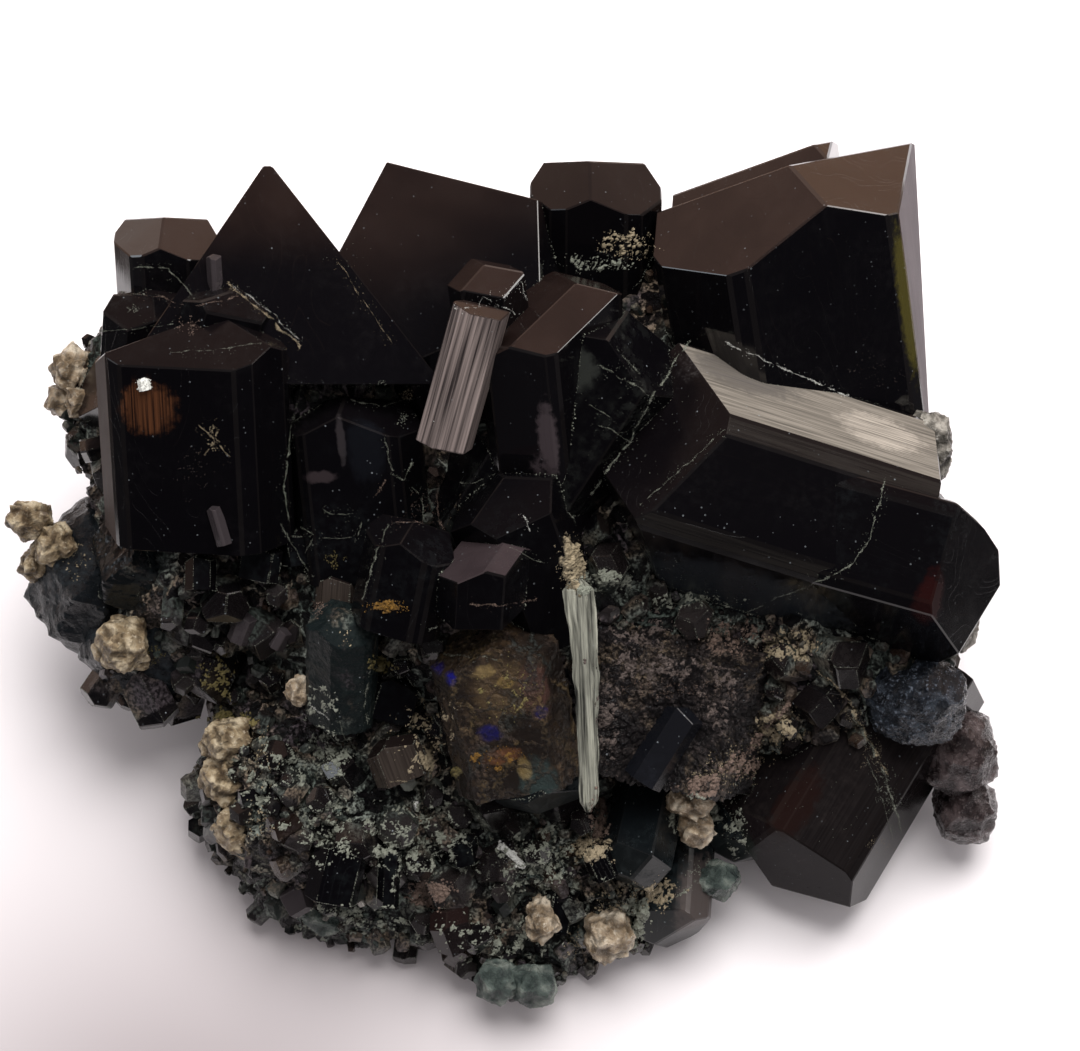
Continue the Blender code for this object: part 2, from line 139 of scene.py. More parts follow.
PAINTED_SHADOW_SPOT = Vector((-0.03, -0.058, 0.0))
PAINTED_SHADOW_REACH = 0.066
board, board_tree, board_shader = fresh_material("matt board with painted shadow")
spot = add(board_tree, "TexCoord").outputs["Object"]
away = add(board_tree, "VectorMath", {0: spot, 1: PAINTED_SHADOW_SPOT}, operation="DISTANCE")
painted_shadow = add(board_tree, "MapRange", {0: away, 1: PAINTED_SHADOW_REACH, 2: 0.0}, **SOFTLY)
paint = add(board_tree, "Mix", {0: painted_shadow, 6: linear("#f3eef0"), 7: linear("#958c8e")}, data_type="RGBA")
board_tree.links.new(paint.outputs[2], board_shader.inputs["Base Color"])
board_shader.inputs["Roughness"].default_value = 0.9
board_shader.inputs["Specular IOR Level"].default_value = 0.15
floor_mesh = bpy.data.meshes.new("floor")
floor_mesh.from_pydata(
    [
        (-BOARD_HALF_WIDTH, BOARD_FRONT, 0),
        (BOARD_HALF_WIDTH, BOARD_FRONT, 0),
        (BOARD_HALF_WIDTH, BOARD_BACK, 0),
        (-BOARD_HALF_WIDTH, BOARD_BACK, 0),
    ],
    [],
    [(0, 1, 2, 3)],
)
floor_mesh.materials.append(board)
floor = bpy.data.objects.new("floor", floor_mesh)
bpy.context.collection.objects.link(floor)
floor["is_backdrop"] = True

# The light: one broad soft lamp high on the right, behind the specimen, so that its shadow falls to
# the near left, and a pale room all round. What the polished faces mirror is darker: a shaded room
# in front and overhead, a brown wall behind with a bright strip along its foot, and two windows.
LAMP_PLACE = Vector((0.06, 0.14, 0.42))
LAMP_AIMED_AT = Vector((0.0, 0.0, 0.02))
LAMP_ACROSS = 0.42
LAMP_POWER = 3.2
ROOM_LIGHT = 0.56
lamp_data = bpy.data.lights.new("soft lamp", "AREA")
lamp_data.shape = "DISK"
lamp_data.size = LAMP_ACROSS
lamp_data.energy = LAMP_POWER
lamp_data.color = (1.0, 0.985, 0.97)
lamp = bpy.data.objects.new("soft lamp", lamp_data)
lamp.location = LAMP_PLACE
lamp.rotation_mode = "QUATERNION"
lamp.rotation_quaternion = (LAMP_PLACE - LAMP_AIMED_AT).to_track_quat("Z", "Y")
lamp.visible_glossy = False
bpy.context.collection.objects.link(lamp)

world = bpy.data.worlds.new("room")
bpy.context.scene.world = world
world.use_nodes = True
room = world.node_tree
room.nodes.clear()
way = add(room, "TexCoord").outputs["Generated"]
parts = add(room, "SeparateXYZ", {0: way})
upward = add(room, "MapRange", {0: parts.outputs["Z"], 1: -1.0, 2: 1.0})


def by_height(*stops):
    """Ramp stops from colours by their height above the horizon in degrees."""
    return [(0.5 + 0.5 * math.sin(math.radians(height)), (*colour, 1.0)) for height, colour in stops]


def window(turn, height, half_width, strength, colour, under):
    """A soft-edged bright patch of the room, added over what is under it."""
    turn, height, half_width = math.radians(turn), math.radians(height), math.radians(half_width)
    toward = (math.cos(height) * math.sin(turn), math.cos(height) * math.cos(turn), math.sin(height))
    near = add(room, "VectorMath", {0: way, 1: toward}, operation="DOT_PRODUCT")
    rim, core = math.cos(half_width), math.cos(0.8 * half_width)
    lit = add(room, "MapRange", {0: near, 1: rim, 2: core, 4: strength})
    glow = add(room, "Mix", {0: lit, 6: (0, 0, 0, 1), 7: colour}, data_type="RGBA", clamp_factor=False)
    return add(room, "Mix", {0: 1.0, 6: under, 7: glow}, data_type="RGBA", blend_type="ADD")


behind = add(
    room,
    "ValToRGB",
    {0: upward},
    stops=by_height(
        (-90, (0.30, 0.27, 0.26)),
        (-50, (0.20, 0.17, 0.17)),
        (-20, (0.42, 0.25, 0.16)),
        (-12, (0.50, 0.31, 0.22)),
        (-5, (0.62, 0.42, 0.33)),
        (0, (1.00, 0.84, 0.76)),
        (4, (0.70, 0.48, 0.38)),
        (9, (0.52, 0.33, 0.25)),
        (14, (0.28, 0.18, 0.145)),
        (50, (0.30, 0.19, 0.15)),
        (70, (0.22, 0.14, 0.115)),
        (79, (0.02, 0.017, 0.02)),
        (90, (0.012, 0.012, 0.016)),
    ),
)
before = add(
    room,
    "ValToRGB",
    {0: upward},
    stops=by_height(
        (-90, (0.20, 0.18, 0.19)),
        (-40, (0.05, 0.048, 0.05)),
        (-12, (0.07, 0.065, 0.07)),
        (0, (0.04, 0.036, 0.04)),
        (15, (0.012, 0.012, 0.016)),
        (48, (0.02, 0.02, 0.024)),
        (60, (0.12, 0.105, 0.105)),
        (70, (0.05, 0.048, 0.05)),
        (80, (0.012, 0.012, 0.016)),
    ),
)
sideways = add(room, "MapRange", {0: parts.outputs["Y"], 1: 0.0, 2: 0.45}, **SOFTLY)
walls = add(room, "Mix", {0: sideways, 6: before, 7: behind}, data_type="RGBA")
walls = window(72, 33, 11, 7.0, (1.0, 0.97, 0.94, 1.0), walls)
walls = window(-78, 22, 9, 3.0, (0.85, 0.92, 1.0, 1.0), walls)
ray = add(room, "LightPath").outputs
pale = add(room, "Background", {"Color": linear("#fbf7f8"), "Strength": ROOM_LIGHT})
seen = add(room, "Background", {"Color": linear("#f6f0f2"), "Strength": 1.0})
shaded = add(room, "Background", {"Color": walls, "Strength": 1.0})
lit = add(room, "MixShader", {0: ray["Is Glossy Ray"], 1: pale, 2: shaded})
whole = add(room, "MixShader", {0: ray["Is Camera Ray"], 1: lit, 2: seen})
add(room, "OutputWorld", {"Surface": whole})


# Black tourmaline, or schorl: an iron-rich silicate that grows as stout prisms. Its faces are natural
# growth faces: flat, vitreous and near black, finely lined along the prism. A brown tone is painted on
# the tips as painted reflection of warm light from above. Some faces have deep striations under a
# painted silver sheen, others are etched, dusty or stained.
SCHORL_IOR = 1.635
# The streaks are drawn wider than the real growth lines, which are too fine to show
STREAK_WIDTH = 0.17
STREAK_LENGTH = 8.0
SPECKS_APART = 0.62
TERRACE = 0.02
TERRACE_STEP = 0.07
CRUST_HUES = ("#4f5953", "#8b9188", "#8a7a68", "#5f565b")
CRUST_HUES_AT = (0.40, 0.48, 0.55, 0.62)


def schorl(name, black="#070608", tone="#231916", painted_tip_tone=0.8, fading=0.0, streaks=0.0, silver="#a39a96",
           fibre=STREAK_WIDTH, filled=0.35, haze=0.05, haze_colour="#3c3a3b", vary=0.0, specks=0.3,
           polish=0.05, gloss=0.5, pitted=0.0, crust=0.0, net=0.0, hues=CRUST_HUES, stains_and_painted_light=(),
           painted_sheen_sided=False):
    """painted_tip_tone, streaks, haze, specks and crust are how strongly each shows, from 0 to 1; the tip
    tone is painted reflection of warm light from above. Fading is how far down from the tip that painted
    tone reaches, if it isn't on the tip faces alone. Fibre is how wide the streaks are, and filled how much
    painted sheen lies between them. Net is the size of the meshes that the crust makes. Vary lets some
    crystals of a group be paler. A stain is its centre, radii, colour, strength and whether it follows the
    streaks; some stains are painted shade or a painted highlight. A side with painted sheen mirrors less
    than the others."""
    material, tree, shader = fresh_material(name)
    grown = add(tree, "Attribute", attribute_name="grown").outputs["Vector"]
    start = add(tree, "Attribute", attribute_name="start").outputs["Vector"]
    tip = add(tree, "Attribute", attribute_name="tip").outputs["Fac"]
    rim = add(tree, "Attribute", attribute_name="rim").outputs["Fac"]
    shine = add(tree, "Attribute", attribute_name="shine").outputs["Fac"]
    side = add(tree, "Math", {0: 1.0, 1: tip}, operation="SUBTRACT")
    place = add(tree, "VectorMath", {0: grown, 1: start}, operation="ADD")
    patchy = add(tree, "TexNoise", {"Vector": place, "Scale": 1 / 7.0, "Detail": 3.0, "Roughness": 0.55})
    dust = add(tree, "TexNoise", {"Vector": place, "Scale": 1 / 0.8, "Detail": 4.0, "Roughness": 0.62})
    along = (1.0, 1.0, STREAK_WIDTH / STREAK_LENGTH)
    along = add(tree, "VectorMath", {0: place, 1: along}, operation="MULTIPLY")
    streak = add(tree, "TexNoise", {"Vector": along, "Scale": 1 / fibre, "Detail": 2.0, "Roughness": 0.55})

    # The brown tone on the tips, a painted reflection of warm light from above, which is deepest
    # on the tip and uneven
    painted_tip_mask = tip
    if fading:
        height = add(tree, "SeparateXYZ", {0: grown}).outputs["Z"]
        painted_tip_mask = add(tree, "MapRange", {0: height, 1: -fading, 2: -0.3 * fading}, **SOFTLY)
    uneven = add(tree, "MapRange", {0: patchy, 1: 0.25, 2: 0.65, 3: 0.6}, **SOFTLY)
    painted_tip_mask = add(tree, "Math", {0: painted_tip_mask, 1: uneven}, operation="MULTIPLY")
    painted_tip_mask = add(tree, "Math", {0: painted_tip_mask, 1: painted_tip_tone}, operation="MULTIPLY")
    colour = add(tree, "Mix", {0: painted_tip_mask, 6: linear(black), 7: linear(tone)}, data_type="RGBA")

    # A haze of fine scratches and film in patches
    filmed = add(tree, "MapRange", {0: patchy, 1: 0.40, 2: 0.70}, **SOFTLY)
    scratched = add(tree, "MapRange", {0: dust, 1: 0.38, 2: 0.72}, **SOFTLY)
    hazy = add(tree, "Math", {0: filmed, 1: scratched}, operation="MULTIPLY")
    hazy = add(tree, "Math", {0: hazy, 1: haze}, operation="MULTIPLY")
    if vary:
        lot = add(tree, "TexWhiteNoise", {"Vector": start}, noise_dimensions="3D")
        paler = add(tree, "MapRange", {0: lot, 1: 0.5, 4: vary}, **SOFTLY)
        hazy = add(tree, "Math", {0: hazy, 1: paler}, operation="MAXIMUM")
    colour = add(tree, "Mix", {0: hazy, 6: colour, 7: linear(haze_colour)}, data_type="RGBA")

    # Silvery streaks along the side faces: real striations coloured with a painted silver sheen, and whole
    # sides given painted sheen or a lighter painted shade by their shine mark
    silver_sheen_streaks = add(tree, "Math", {0: side, 1: streaks}, operation="MULTIPLY")
    shining = add(tree, "Math", {0: shine, 1: 0.85}, operation="MULTIPLY")
    silver_sheen_streaks = add(tree, "Math", {0: silver_sheen_streaks, 1: shining}, operation="MAXIMUM")
    lined = add(tree, "MapRange", {0: streak, 1: 0.25, 2: 0.75, 3: filled}, **SOFTLY)
    lined = add(tree, "Math", {0: lined, 1: silver_sheen_streaks}, operation="MULTIPLY")
    colour = add(tree, "Mix", {0: lined, 6: colour, 7: linear(silver)}, data_type="RGBA")
    for centre, radii, stain_colour, strength, follows in stains_and_painted_light:
        off = add(tree, "VectorMath", {0: grown, 1: centre}, operation="SUBTRACT")
        off = add(tree, "VectorMath", {0: off, 1: radii}, operation="DIVIDE")
        off = add(tree, "VectorMath", {0: off}, operation="LENGTH")
        fray = add(tree, "Math", {0: dust, 1: 0.9}, operation="MULTIPLY")
        off = add(tree, "Math", {0: off, 1: fray}, operation="ADD")
        stained = add(tree, "MapRange", {0: off, 1: 1.45, 2: 1.0}, **SOFTLY)
        stained = add(tree, "Math", {0: stained, 1: strength}, operation="MULTIPLY")
        if follows:
            parted = add(tree, "MapRange", {0: streak, 1: 0.25, 2: 0.70}, **SOFTLY)
            stained = add(tree, "Math", {0: stained, 1: parted}, operation="MULTIPLY")
        colour = add(tree, "Mix", {0: stained, 6: colour, 7: linear(stain_colour)}, data_type="RGBA")
        stained = add(tree, "Math", {0: stained, 1: 0.4}, operation="MULTIPLY")
        lined = add(tree, "Math", {0: lined, 1: stained}, operation="MAXIMUM")

    # Specks of dust, and a worn line along the edges
    if specks:
        cell = add(tree, "TexVoronoi", {"Vector": place, "Scale": 1 / SPECKS_APART})
        chance = add(tree, "SeparateColor", {0: cell.outputs["Color"]}).outputs
        wide = add(tree, "MapRange", {0: chance[1], 3: 0.05, 4: 0.15}, **SOFTLY)
        dot = add(tree, "Math", {0: cell, 1: wide}, operation="LESS_THAN")
        some = add(tree, "MapRange", {0: chance[0], 1: 0.45, 4: specks}, **SOFTLY)
        dot = add(tree, "Math", {0: dot, 1: some}, operation="MULTIPLY")
        dusty = add(tree, "MapRange", {0: dust, 1: 0.40, 2: 0.62}, **SOFTLY)
        dot = add(tree, "Math", {0: dot, 1: dusty}, operation="MULTIPLY")
        colour = add(tree, "Mix", {0: dot, 6: colour, 7: linear("#8b9296")}, data_type="RGBA")
    worn = add(tree, "Math", {0: rim, 1: 0.012}, operation="MULTIPLY")
    colour = add(tree, "Mix", {0: worn, 6: colour, 7: linear("#8a8078")}, data_type="RGBA")

    # Pale crust in the hollows, and in a net of fine cracks
    if crust:
        level = add(tree, "Attribute", attribute_name="level").outputs["Fac"]
        grain = add(tree, "TexNoise", {"Vector": place, "Scale": 1 / 0.33, "Detail": 3.0, "Roughness": 0.6})
        strewn = add(tree, "Math", {0: dust, 1: 1.6}, operation="MULTIPLY")
        low = add(tree, "Math", {0: level, 1: strewn}, operation="ADD")
        low = add(tree, "MapRange", {0: low, 1: 1.45, 2: 0.95}, **SOFTLY)
        settled = add(tree, "MapRange", {0: patchy, 1: 0.40, 2: 0.56}, **SOFTLY)
        crusted = add(tree, "Math", {0: low, 1: settled}, operation="MULTIPLY")
        if net:
            swirl = add(tree, "TexNoise", {"Vector": place, "Scale": 0.5, "Detail": 3.0}).outputs["Color"]
            bent = add(tree, "VectorMath", {0: swirl, 1: (2.6, 2.6, 2.6), 2: place}, operation="MULTIPLY_ADD")
            crack = add(tree, "TexVoronoi", {"Vector": bent, "Scale": 1 / net}, feature="DISTANCE_TO_EDGE")
            frayed = add(tree, "Math", {0: grain, 1: -0.22}, operation="MULTIPLY")
            crack = add(tree, "Math", {0: crack, 1: frayed}, operation="ADD")
            crack = add(tree, "MapRange", {0: crack, 1: 0.0, 2: -0.08}, **SOFTLY)
            crusted = add(tree, "Math", {0: crack, 1: crusted}, operation="MAXIMUM")
        crusted = add(tree, "Math", {0: crusted, 1: crust}, operation="MULTIPLY")
        drift = add(tree, "TexNoise", {"Vector": place, "Scale": 1 / 9.0, "Detail": 2.0, "Roughness": 0.55})
        stops = [(position, linear(hue)) for position, hue in zip(CRUST_HUES_AT, hues)]
        hue = add(tree, "ValToRGB", {0: drift}, stops=stops)
        shadowed = add(tree, "MapRange", {0: grain, 1: 0.38, 2: 0.64, 3: 0.08}, **SOFTLY)
        crumbly = add(tree, "Mix", {0: 1.0, 6: hue, 7: shadowed}, data_type="RGBA", blend_type="MULTIPLY")
        colour = add(tree, "Mix", {0: crusted, 6: colour, 7: crumbly}, data_type="RGBA")
    tree.links.new(colour.outputs[2], shader.inputs["Base Color"])

    # How dull each place is
    streaky = add(tree, "Math", {0: lined, 1: 0.35}, operation="MULTIPLY")
    misty = add(tree, "Math", {0: hazy, 1: 0.45}, operation="MULTIPLY")
    dull = add(tree, "Math", {0: streaky, 1: misty}, operation="ADD")
    matt = add(tree, "Math", {0: shine, 1: 4.0}, operation="MULTIPLY")
    matt = add(tree, "Math", {0: tip, 1: matt}, operation="MAXIMUM")
    matt = add(tree, "Math", {0: matt, 1: 0.08}, operation="MULTIPLY")
    dull = add(tree, "Math", {0: dull, 1: matt}, operation="ADD")
    uneven = add(tree, "MapRange", {0: patchy, 1: 0.35, 2: 0.7}, **SOFTLY)
    uneven = add(tree, "Math", {0: uneven, 1: 0.06}, operation="MULTIPLY")
    dull = add(tree, "Math", {0: dull, 1: uneven}, operation="ADD")
    if crust:
        chalky = add(tree, "Math", {0: crusted, 1: 0.5}, operation="MULTIPLY")
        dull = add(tree, "Math", {0: dull, 1: chalky}, operation="ADD")
    dull = add(tree, "Math", {0: dull, 1: polish}, operation="ADD", use_clamp=True)
    tree.links.new(dull.outputs[0], shader.inputs["Roughness"])
    shader.inputs["IOR"].default_value = SCHORL_IOR
    shader.inputs["Specular IOR Level"].default_value = gloss
    if painted_sheen_sided:
        mirror = add(tree, "MapRange", {0: shine, 3: 1.0, 4: 0.3}, **SOFTLY)
        mirror = add(tree, "Math", {0: mirror, 1: gloss}, operation="MULTIPLY")
        tree.links.new(mirror.outputs[0], shader.inputs["Specular IOR Level"])

    # Relief: the streaks, terraces of growth a few hundredths of a millimetre high, crumbs and pits
    deep = add(tree, "Math", {0: silver_sheen_streaks, 1: 0.045}, operation="MULTIPLY")
    deep = add(tree, "Math", {0: deep, 1: 0.0022}, operation="ADD")
    bare = add(tree, "Math", {0: side, 1: rim}, operation="SUBTRACT")
    relief = add(tree, "Math", {0: streak, 1: bare}, operation="MULTIPLY")
    relief = add(tree, "Math", {0: relief, 1: deep}, operation="MULTIPLY")
    drawn = add(tree, "VectorMath", {0: place, 1: (1.0, 1.0, 0.25)}, operation="MULTIPLY")
    ledge = add(tree, "TexNoise", {"Vector": drawn, "Scale": 1 / 5.5, "Detail": 1.0, "Roughness": 0.55})
    ledge = add(tree, "Math", {0: ledge, 1: TERRACE_STEP}, operation="SNAP")
    ledge = add(tree, "Math", {0: ledge, 1: TERRACE / TERRACE_STEP * 0.5}, operation="MULTIPLY")
    relief = add(tree, "Math", {0: relief, 1: ledge}, operation="ADD")
    if crust:
        crumbs = add(tree, "Math", {0: grain, 1: 0.3}, operation="MULTIPLY")
        crumbs = add(tree, "Math", {0: crusted, 1: crumbs}, operation="MULTIPLY")
        relief = add(tree, "Math", {0: relief, 1: crumbs}, operation="ADD")
    if pitted:
        pits = add(tree, "TexNoise", {"Vector": place, "Scale": 1 / 0.9, "Detail": 5.0, "Roughness": 0.65})
        pits = add(tree, "Math", {0: pits, 1: pitted}, operation="MULTIPLY")
        relief = add(tree, "Math", {0: relief, 1: pits}, operation="ADD")
    bump = add(tree, "Bump", {"Height": relief, "Distance": MM, "Strength": 1.0})
    tree.links.new(bump.outputs[0], shader.inputs["Normal"])
    return material


# In each finish, tone and painted_tip_tone set the painted warm reflection on the tips, and silver the
# painted sheen on the streaks
FINISHES = {
    "mirror": {},
    "faded": dict(fading=11.0),
    "shaded": dict(gloss=0.14, painted_tip_tone=0.45, polish=0.1, haze=0.1, specks=0.4),
    "sided": dict(silver="#80757a", polish=0.06),
    "black": dict(gloss=0.16, painted_tip_tone=0.04, polish=0.1, haze=0.35, haze_colour="#1c1f21", specks=0.7),
    "lavender tip": dict(
        gloss=0.16, tone="#3a3133", painted_tip_tone=0.8, polish=0.12, haze=0.2, haze_colour="#1c1f21", specks=0.6,
    ),
    "deep black": dict(gloss=0.08, painted_tip_tone=0.0, polish=0.12, haze=0.3, haze_colour="#17191a", specks=0.5),
    "black, one side grey": dict(gloss=0.2, painted_tip_tone=0.12, silver="#5d514d", polish=0.08, specks=0.5),
    "satin": dict(gloss=0.2, painted_tip_tone=0.06, silver="#8f877d", polish=0.1, specks=0.5),
    "dull": dict(gloss=0.14, painted_tip_tone=0.0, polish=0.15, haze=0.8, haze_colour="#232523", specks=1.0),
    "teal": dict(
        black="#121819", haze=1.0, haze_colour="#29302f", painted_tip_tone=0.0, polish=0.3, gloss=0.12, pitted=0.25,
        specks=1.0, crust=0.35,
    ),
    "silver": dict(streaks=0.9, silver="#8a7d79", black="#1a1516", polish=0.16, fibre=0.3, filled=0.0),
    "strip": dict(
        streaks=0.85, silver="#a6a698", fibre=0.4, filled=0.0, polish=0.3, black="#0b0d0c", haze=0.15,
        haze_colour="#39403b",
    ),
    "dusty": dict(haze=0.2, specks=0.4, polish=0.10, streaks=0.015),
    "dark brown": dict(
        black="#0d0a0b", tone="#1c1719", gloss=0.04, polish=0.14, streaks=0.006, haze=0.12,
        haze_colour="#4a4240", specks=0.5,
    ),
    "etched": dict(
        black="#0a090a", haze=0.4, haze_colour="#1d191b", streaks=0.03, silver="#6b6364", polish=0.35,
        pitted=0.5, painted_tip_tone=0.1, specks=0.8, crust=0.42, net=4.2,
        hues=("#2a2526", "#5c524f", "#93806a", "#453d3f"),
    ),
    "green": dict(
        black="#0c0f11", tone="#131718", haze=0.8, haze_colour="#22292b", polish=0.2, gloss=0.2, specks=1.0,
        crust=0.35,
    ),
    "smoky": dict(
        black="#1a1512", haze=1.0, haze_colour="#51402f", painted_tip_tone=0.5, polish=0.2, pitted=0.35, gloss=0.35,
        crust=0.6, net=3.0, hues=("#40352a", "#5f4e30", "#453730", "#343937"),
    ),
}

# The large crystals, from the upper right round to the left and then down to the front. Each is one
# growth with six side faces and a low three-sided tip. A crystal's length meets its end at tip,
# leans left of up by lean and comes forward by nod.
LOW_TIP_DEG = 27.3
STEEP_TIP_DEG = 46.0
BLOCK_REACH = 60.0
WORN_EDGE = 0.12
TIP_FROM = 0.55
SIDE_UP_TO = 0.4
SAME_FACE_DEG = 12


def around(turn_deg, lean_deg=90.0):
    """A unit normal that leans this far from the crystal's length, turned about it."""
    turn, lean = math.radians(turn_deg), math.radians(lean_deg)
    return Vector((math.sin(lean) * math.cos(turn), math.sin(lean) * math.sin(turn), math.cos(lean)))


def tip_faces(turn=0.0, lean=LOW_TIP_DEG, drops=(0.0, 0.0, 0.0)):
    """The three faces of a tip, each as (turn, lean, drop)."""
    return [(turn + 120 * k, lean, drop) for k, drop in enumerate(drops)]


def crystal_planes(sides, tips, length, spin=0.0, bevel=0.0, cuts=()):
    """Six side faces at 60 degree steps, tip faces as (turn, lean, drop), a broken foot, and
    any cuts as (turn, lean, distance)."""
    planes = [(around(spin + 60 * k), side) for k, side in enumerate(sides)]
    if bevel:
        for k, side in enumerate(sides):
            corner = (side + sides[(k + 1) % 6]) / (2 * math.cos(math.radians(30)))
            planes.append((around(spin + 30 + 60 * k), corner - bevel))
    for turn, lean, drop in tips:
        normal = around(spin + turn, lean)
        planes.append((normal, -drop * normal.z))
    for turn, lean, distance in cuts:
        planes.append((around(spin + turn, lean), distance))
    planes.append((Vector((0.0, 0.0, -1.0)), length))
    return planes


def crystal_frame(tip, lean, nod):
    """Local Z is the crystal's length towards its tip, and local X its side nearest the viewer."""
    left, forward = math.radians(lean), math.radians(nod)
    across = math.cos(forward)
    z = Vector((-math.sin(left) * across, math.cos(left) * across, math.sin(forward)))
    toward = Vector((0.0, 0.0, 1.0))
    x = (toward - z * toward.dot(z)).normalized()
    matrix = Matrix((x, z.cross(x), z)).transposed().to_4x4()
    matrix.translation = Vector(tip)
    return matrix


def sliced(bm, point, normal):
    """Cuts away what is beyond a plane, and returns the new face that closes the cut."""
    everything = bm.verts[:] + bm.edges[:] + bm.faces[:]
    cut = bmesh.ops.bisect_plane(bm, geom=everything, plane_co=point, plane_no=normal, clear_outer=True)
    rim = [part for part in cut["geom_cut"] if isinstance(part, bmesh.types.BMEdge)]
    return bmesh.ops.contextual_create(bm, geom=rim)["faces"] if rim else []


def solid(planes, worn=0.0, seed=0, silver=None):
    """The space inside the planes, its edges worn off by up to worn: its vertices, faces and their
    marks. Silver_sheen gives how strongly the side face at each turn gets a painted sheen."""
    bm = bmesh.new()
    bmesh.ops.create_cube(bm, size=2 * BLOCK_REACH)
    for normal, distance in planes:
        sliced(bm, normal * distance, normal)
    bmesh.ops.recalc_face_normals(bm, faces=bm.faces)
    bm.normal_update()
    marked = bm.faces.layers.int.new("rim")
    if worn:
        draw = random.Random(seed)
        rims = []
        for edge in bm.edges:
            outward = sum((face.normal for face in edge.link_faces), Vector()).normalized()
            middle = (edge.verts[0].co + edge.verts[1].co) / 2
            rims.append((middle - outward * worn * draw.uniform(0.15, 0.8), outward))
        for middle, outward in rims:
            for face in sliced(bm, middle, outward):
                face[marked] = 1
        bmesh.ops.recalc_face_normals(bm, faces=bm.faces)
        bm.normal_update()
    bm.verts.index_update()
    points = np.array([vert.co for vert in bm.verts])
    faces = [[vert.index for vert in face.verts] for face in bm.faces]
    marks = []
    for face in bm.faces:
        turn = math.degrees(math.atan2(face.normal.y, face.normal.x))
        shine = 0.0
        for sheen_turn, sheen_strength in (silver or {}).items():
            apart = abs((turn - sheen_turn + 180) % 360 - 180)
            if apart < SAME_FACE_DEG and abs(face.normal.z) <= SIDE_UP_TO:
                shine += sheen_strength
        marks.append((float(face.normal.z > TIP_FROM), float(face[marked]), shine))
    bm.free()
    return points, faces, marks, None


FACE_DOWN = Matrix.Rotation(-math.radians(FACE_LEAN_DEG), 3, "X") @ Vector((0, 0, -1))


def table_plane(matrix):
    """The plane of the table as a solid's own frame sees it."""
    normal = matrix.to_3x3().transposed() @ FACE_DOWN
    return normal, FACE_MIDDLE.z - FACE_DOWN.dot(matrix.translation)


built_points, built_faces = [], []


def growth_piece(name, solids, material):
    """One piece from solids, each (shape, its matrix in the face frame, scale, seed, rise), where
    rise is how far the tip stands over the surface that the solid grew from. A shape is its vertices
    and faces, the faces' marks as (tip, rim, shine), and the vertices' pits, if it has them."""
    points, grown, faces, marks, starts, levels = [], [], [], [], [], []
    count = 0
    for (local, outline, marked, pits), matrix, scale, seed, rise in solids:
        placed = np.array(SPECIMEN @ matrix)
        sized = local * scale
        there = sized @ placed[:3, :3].T + placed[:3, 3]
        there[:, 2] = np.maximum(there[:, 2], 0.0)
        points.append(there)
        grown.append(sized)
        faces += [[count + k for k in face] for face in outline]
        marks += marked or [(0.0, 0.0, 0.0)] * len(outline)
        starts.append(np.tile((17.3 * seed, 9.1 * seed, 5.7 * seed), (len(local), 1)))
        levels.append(sized[:, 2] + rise if pits is None else pits)
        count += len(local)
    mesh = bpy.data.meshes.new(name)
    mesh.from_pydata(np.concatenate(points).tolist(), [], faces)
    for mark, values in (("grown", grown), ("start", starts)):
        attribute = mesh.attributes.new(mark, "FLOAT_VECTOR", "POINT")
        attribute.data.foreach_set("vector", np.concatenate(values).ravel())
    mesh.attributes.new("level", "FLOAT", "POINT").data.foreach_set("value", np.concatenate(levels))
    for mark, values in zip(("tip", "rim", "shine"), zip(*marks)):
        mesh.attributes.new(mark, "FLOAT", "FACE").data.foreach_set("value", values)
    mesh.materials.append(material)
    made = bpy.data.objects.new(name, mesh)
    bpy.context.collection.objects.link(made)
    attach(made, "root")
    built_faces.extend([[len(built_points) + k for k in face] for face in faces])
    built_points.extend(np.concatenate(points).tolist())
    return made


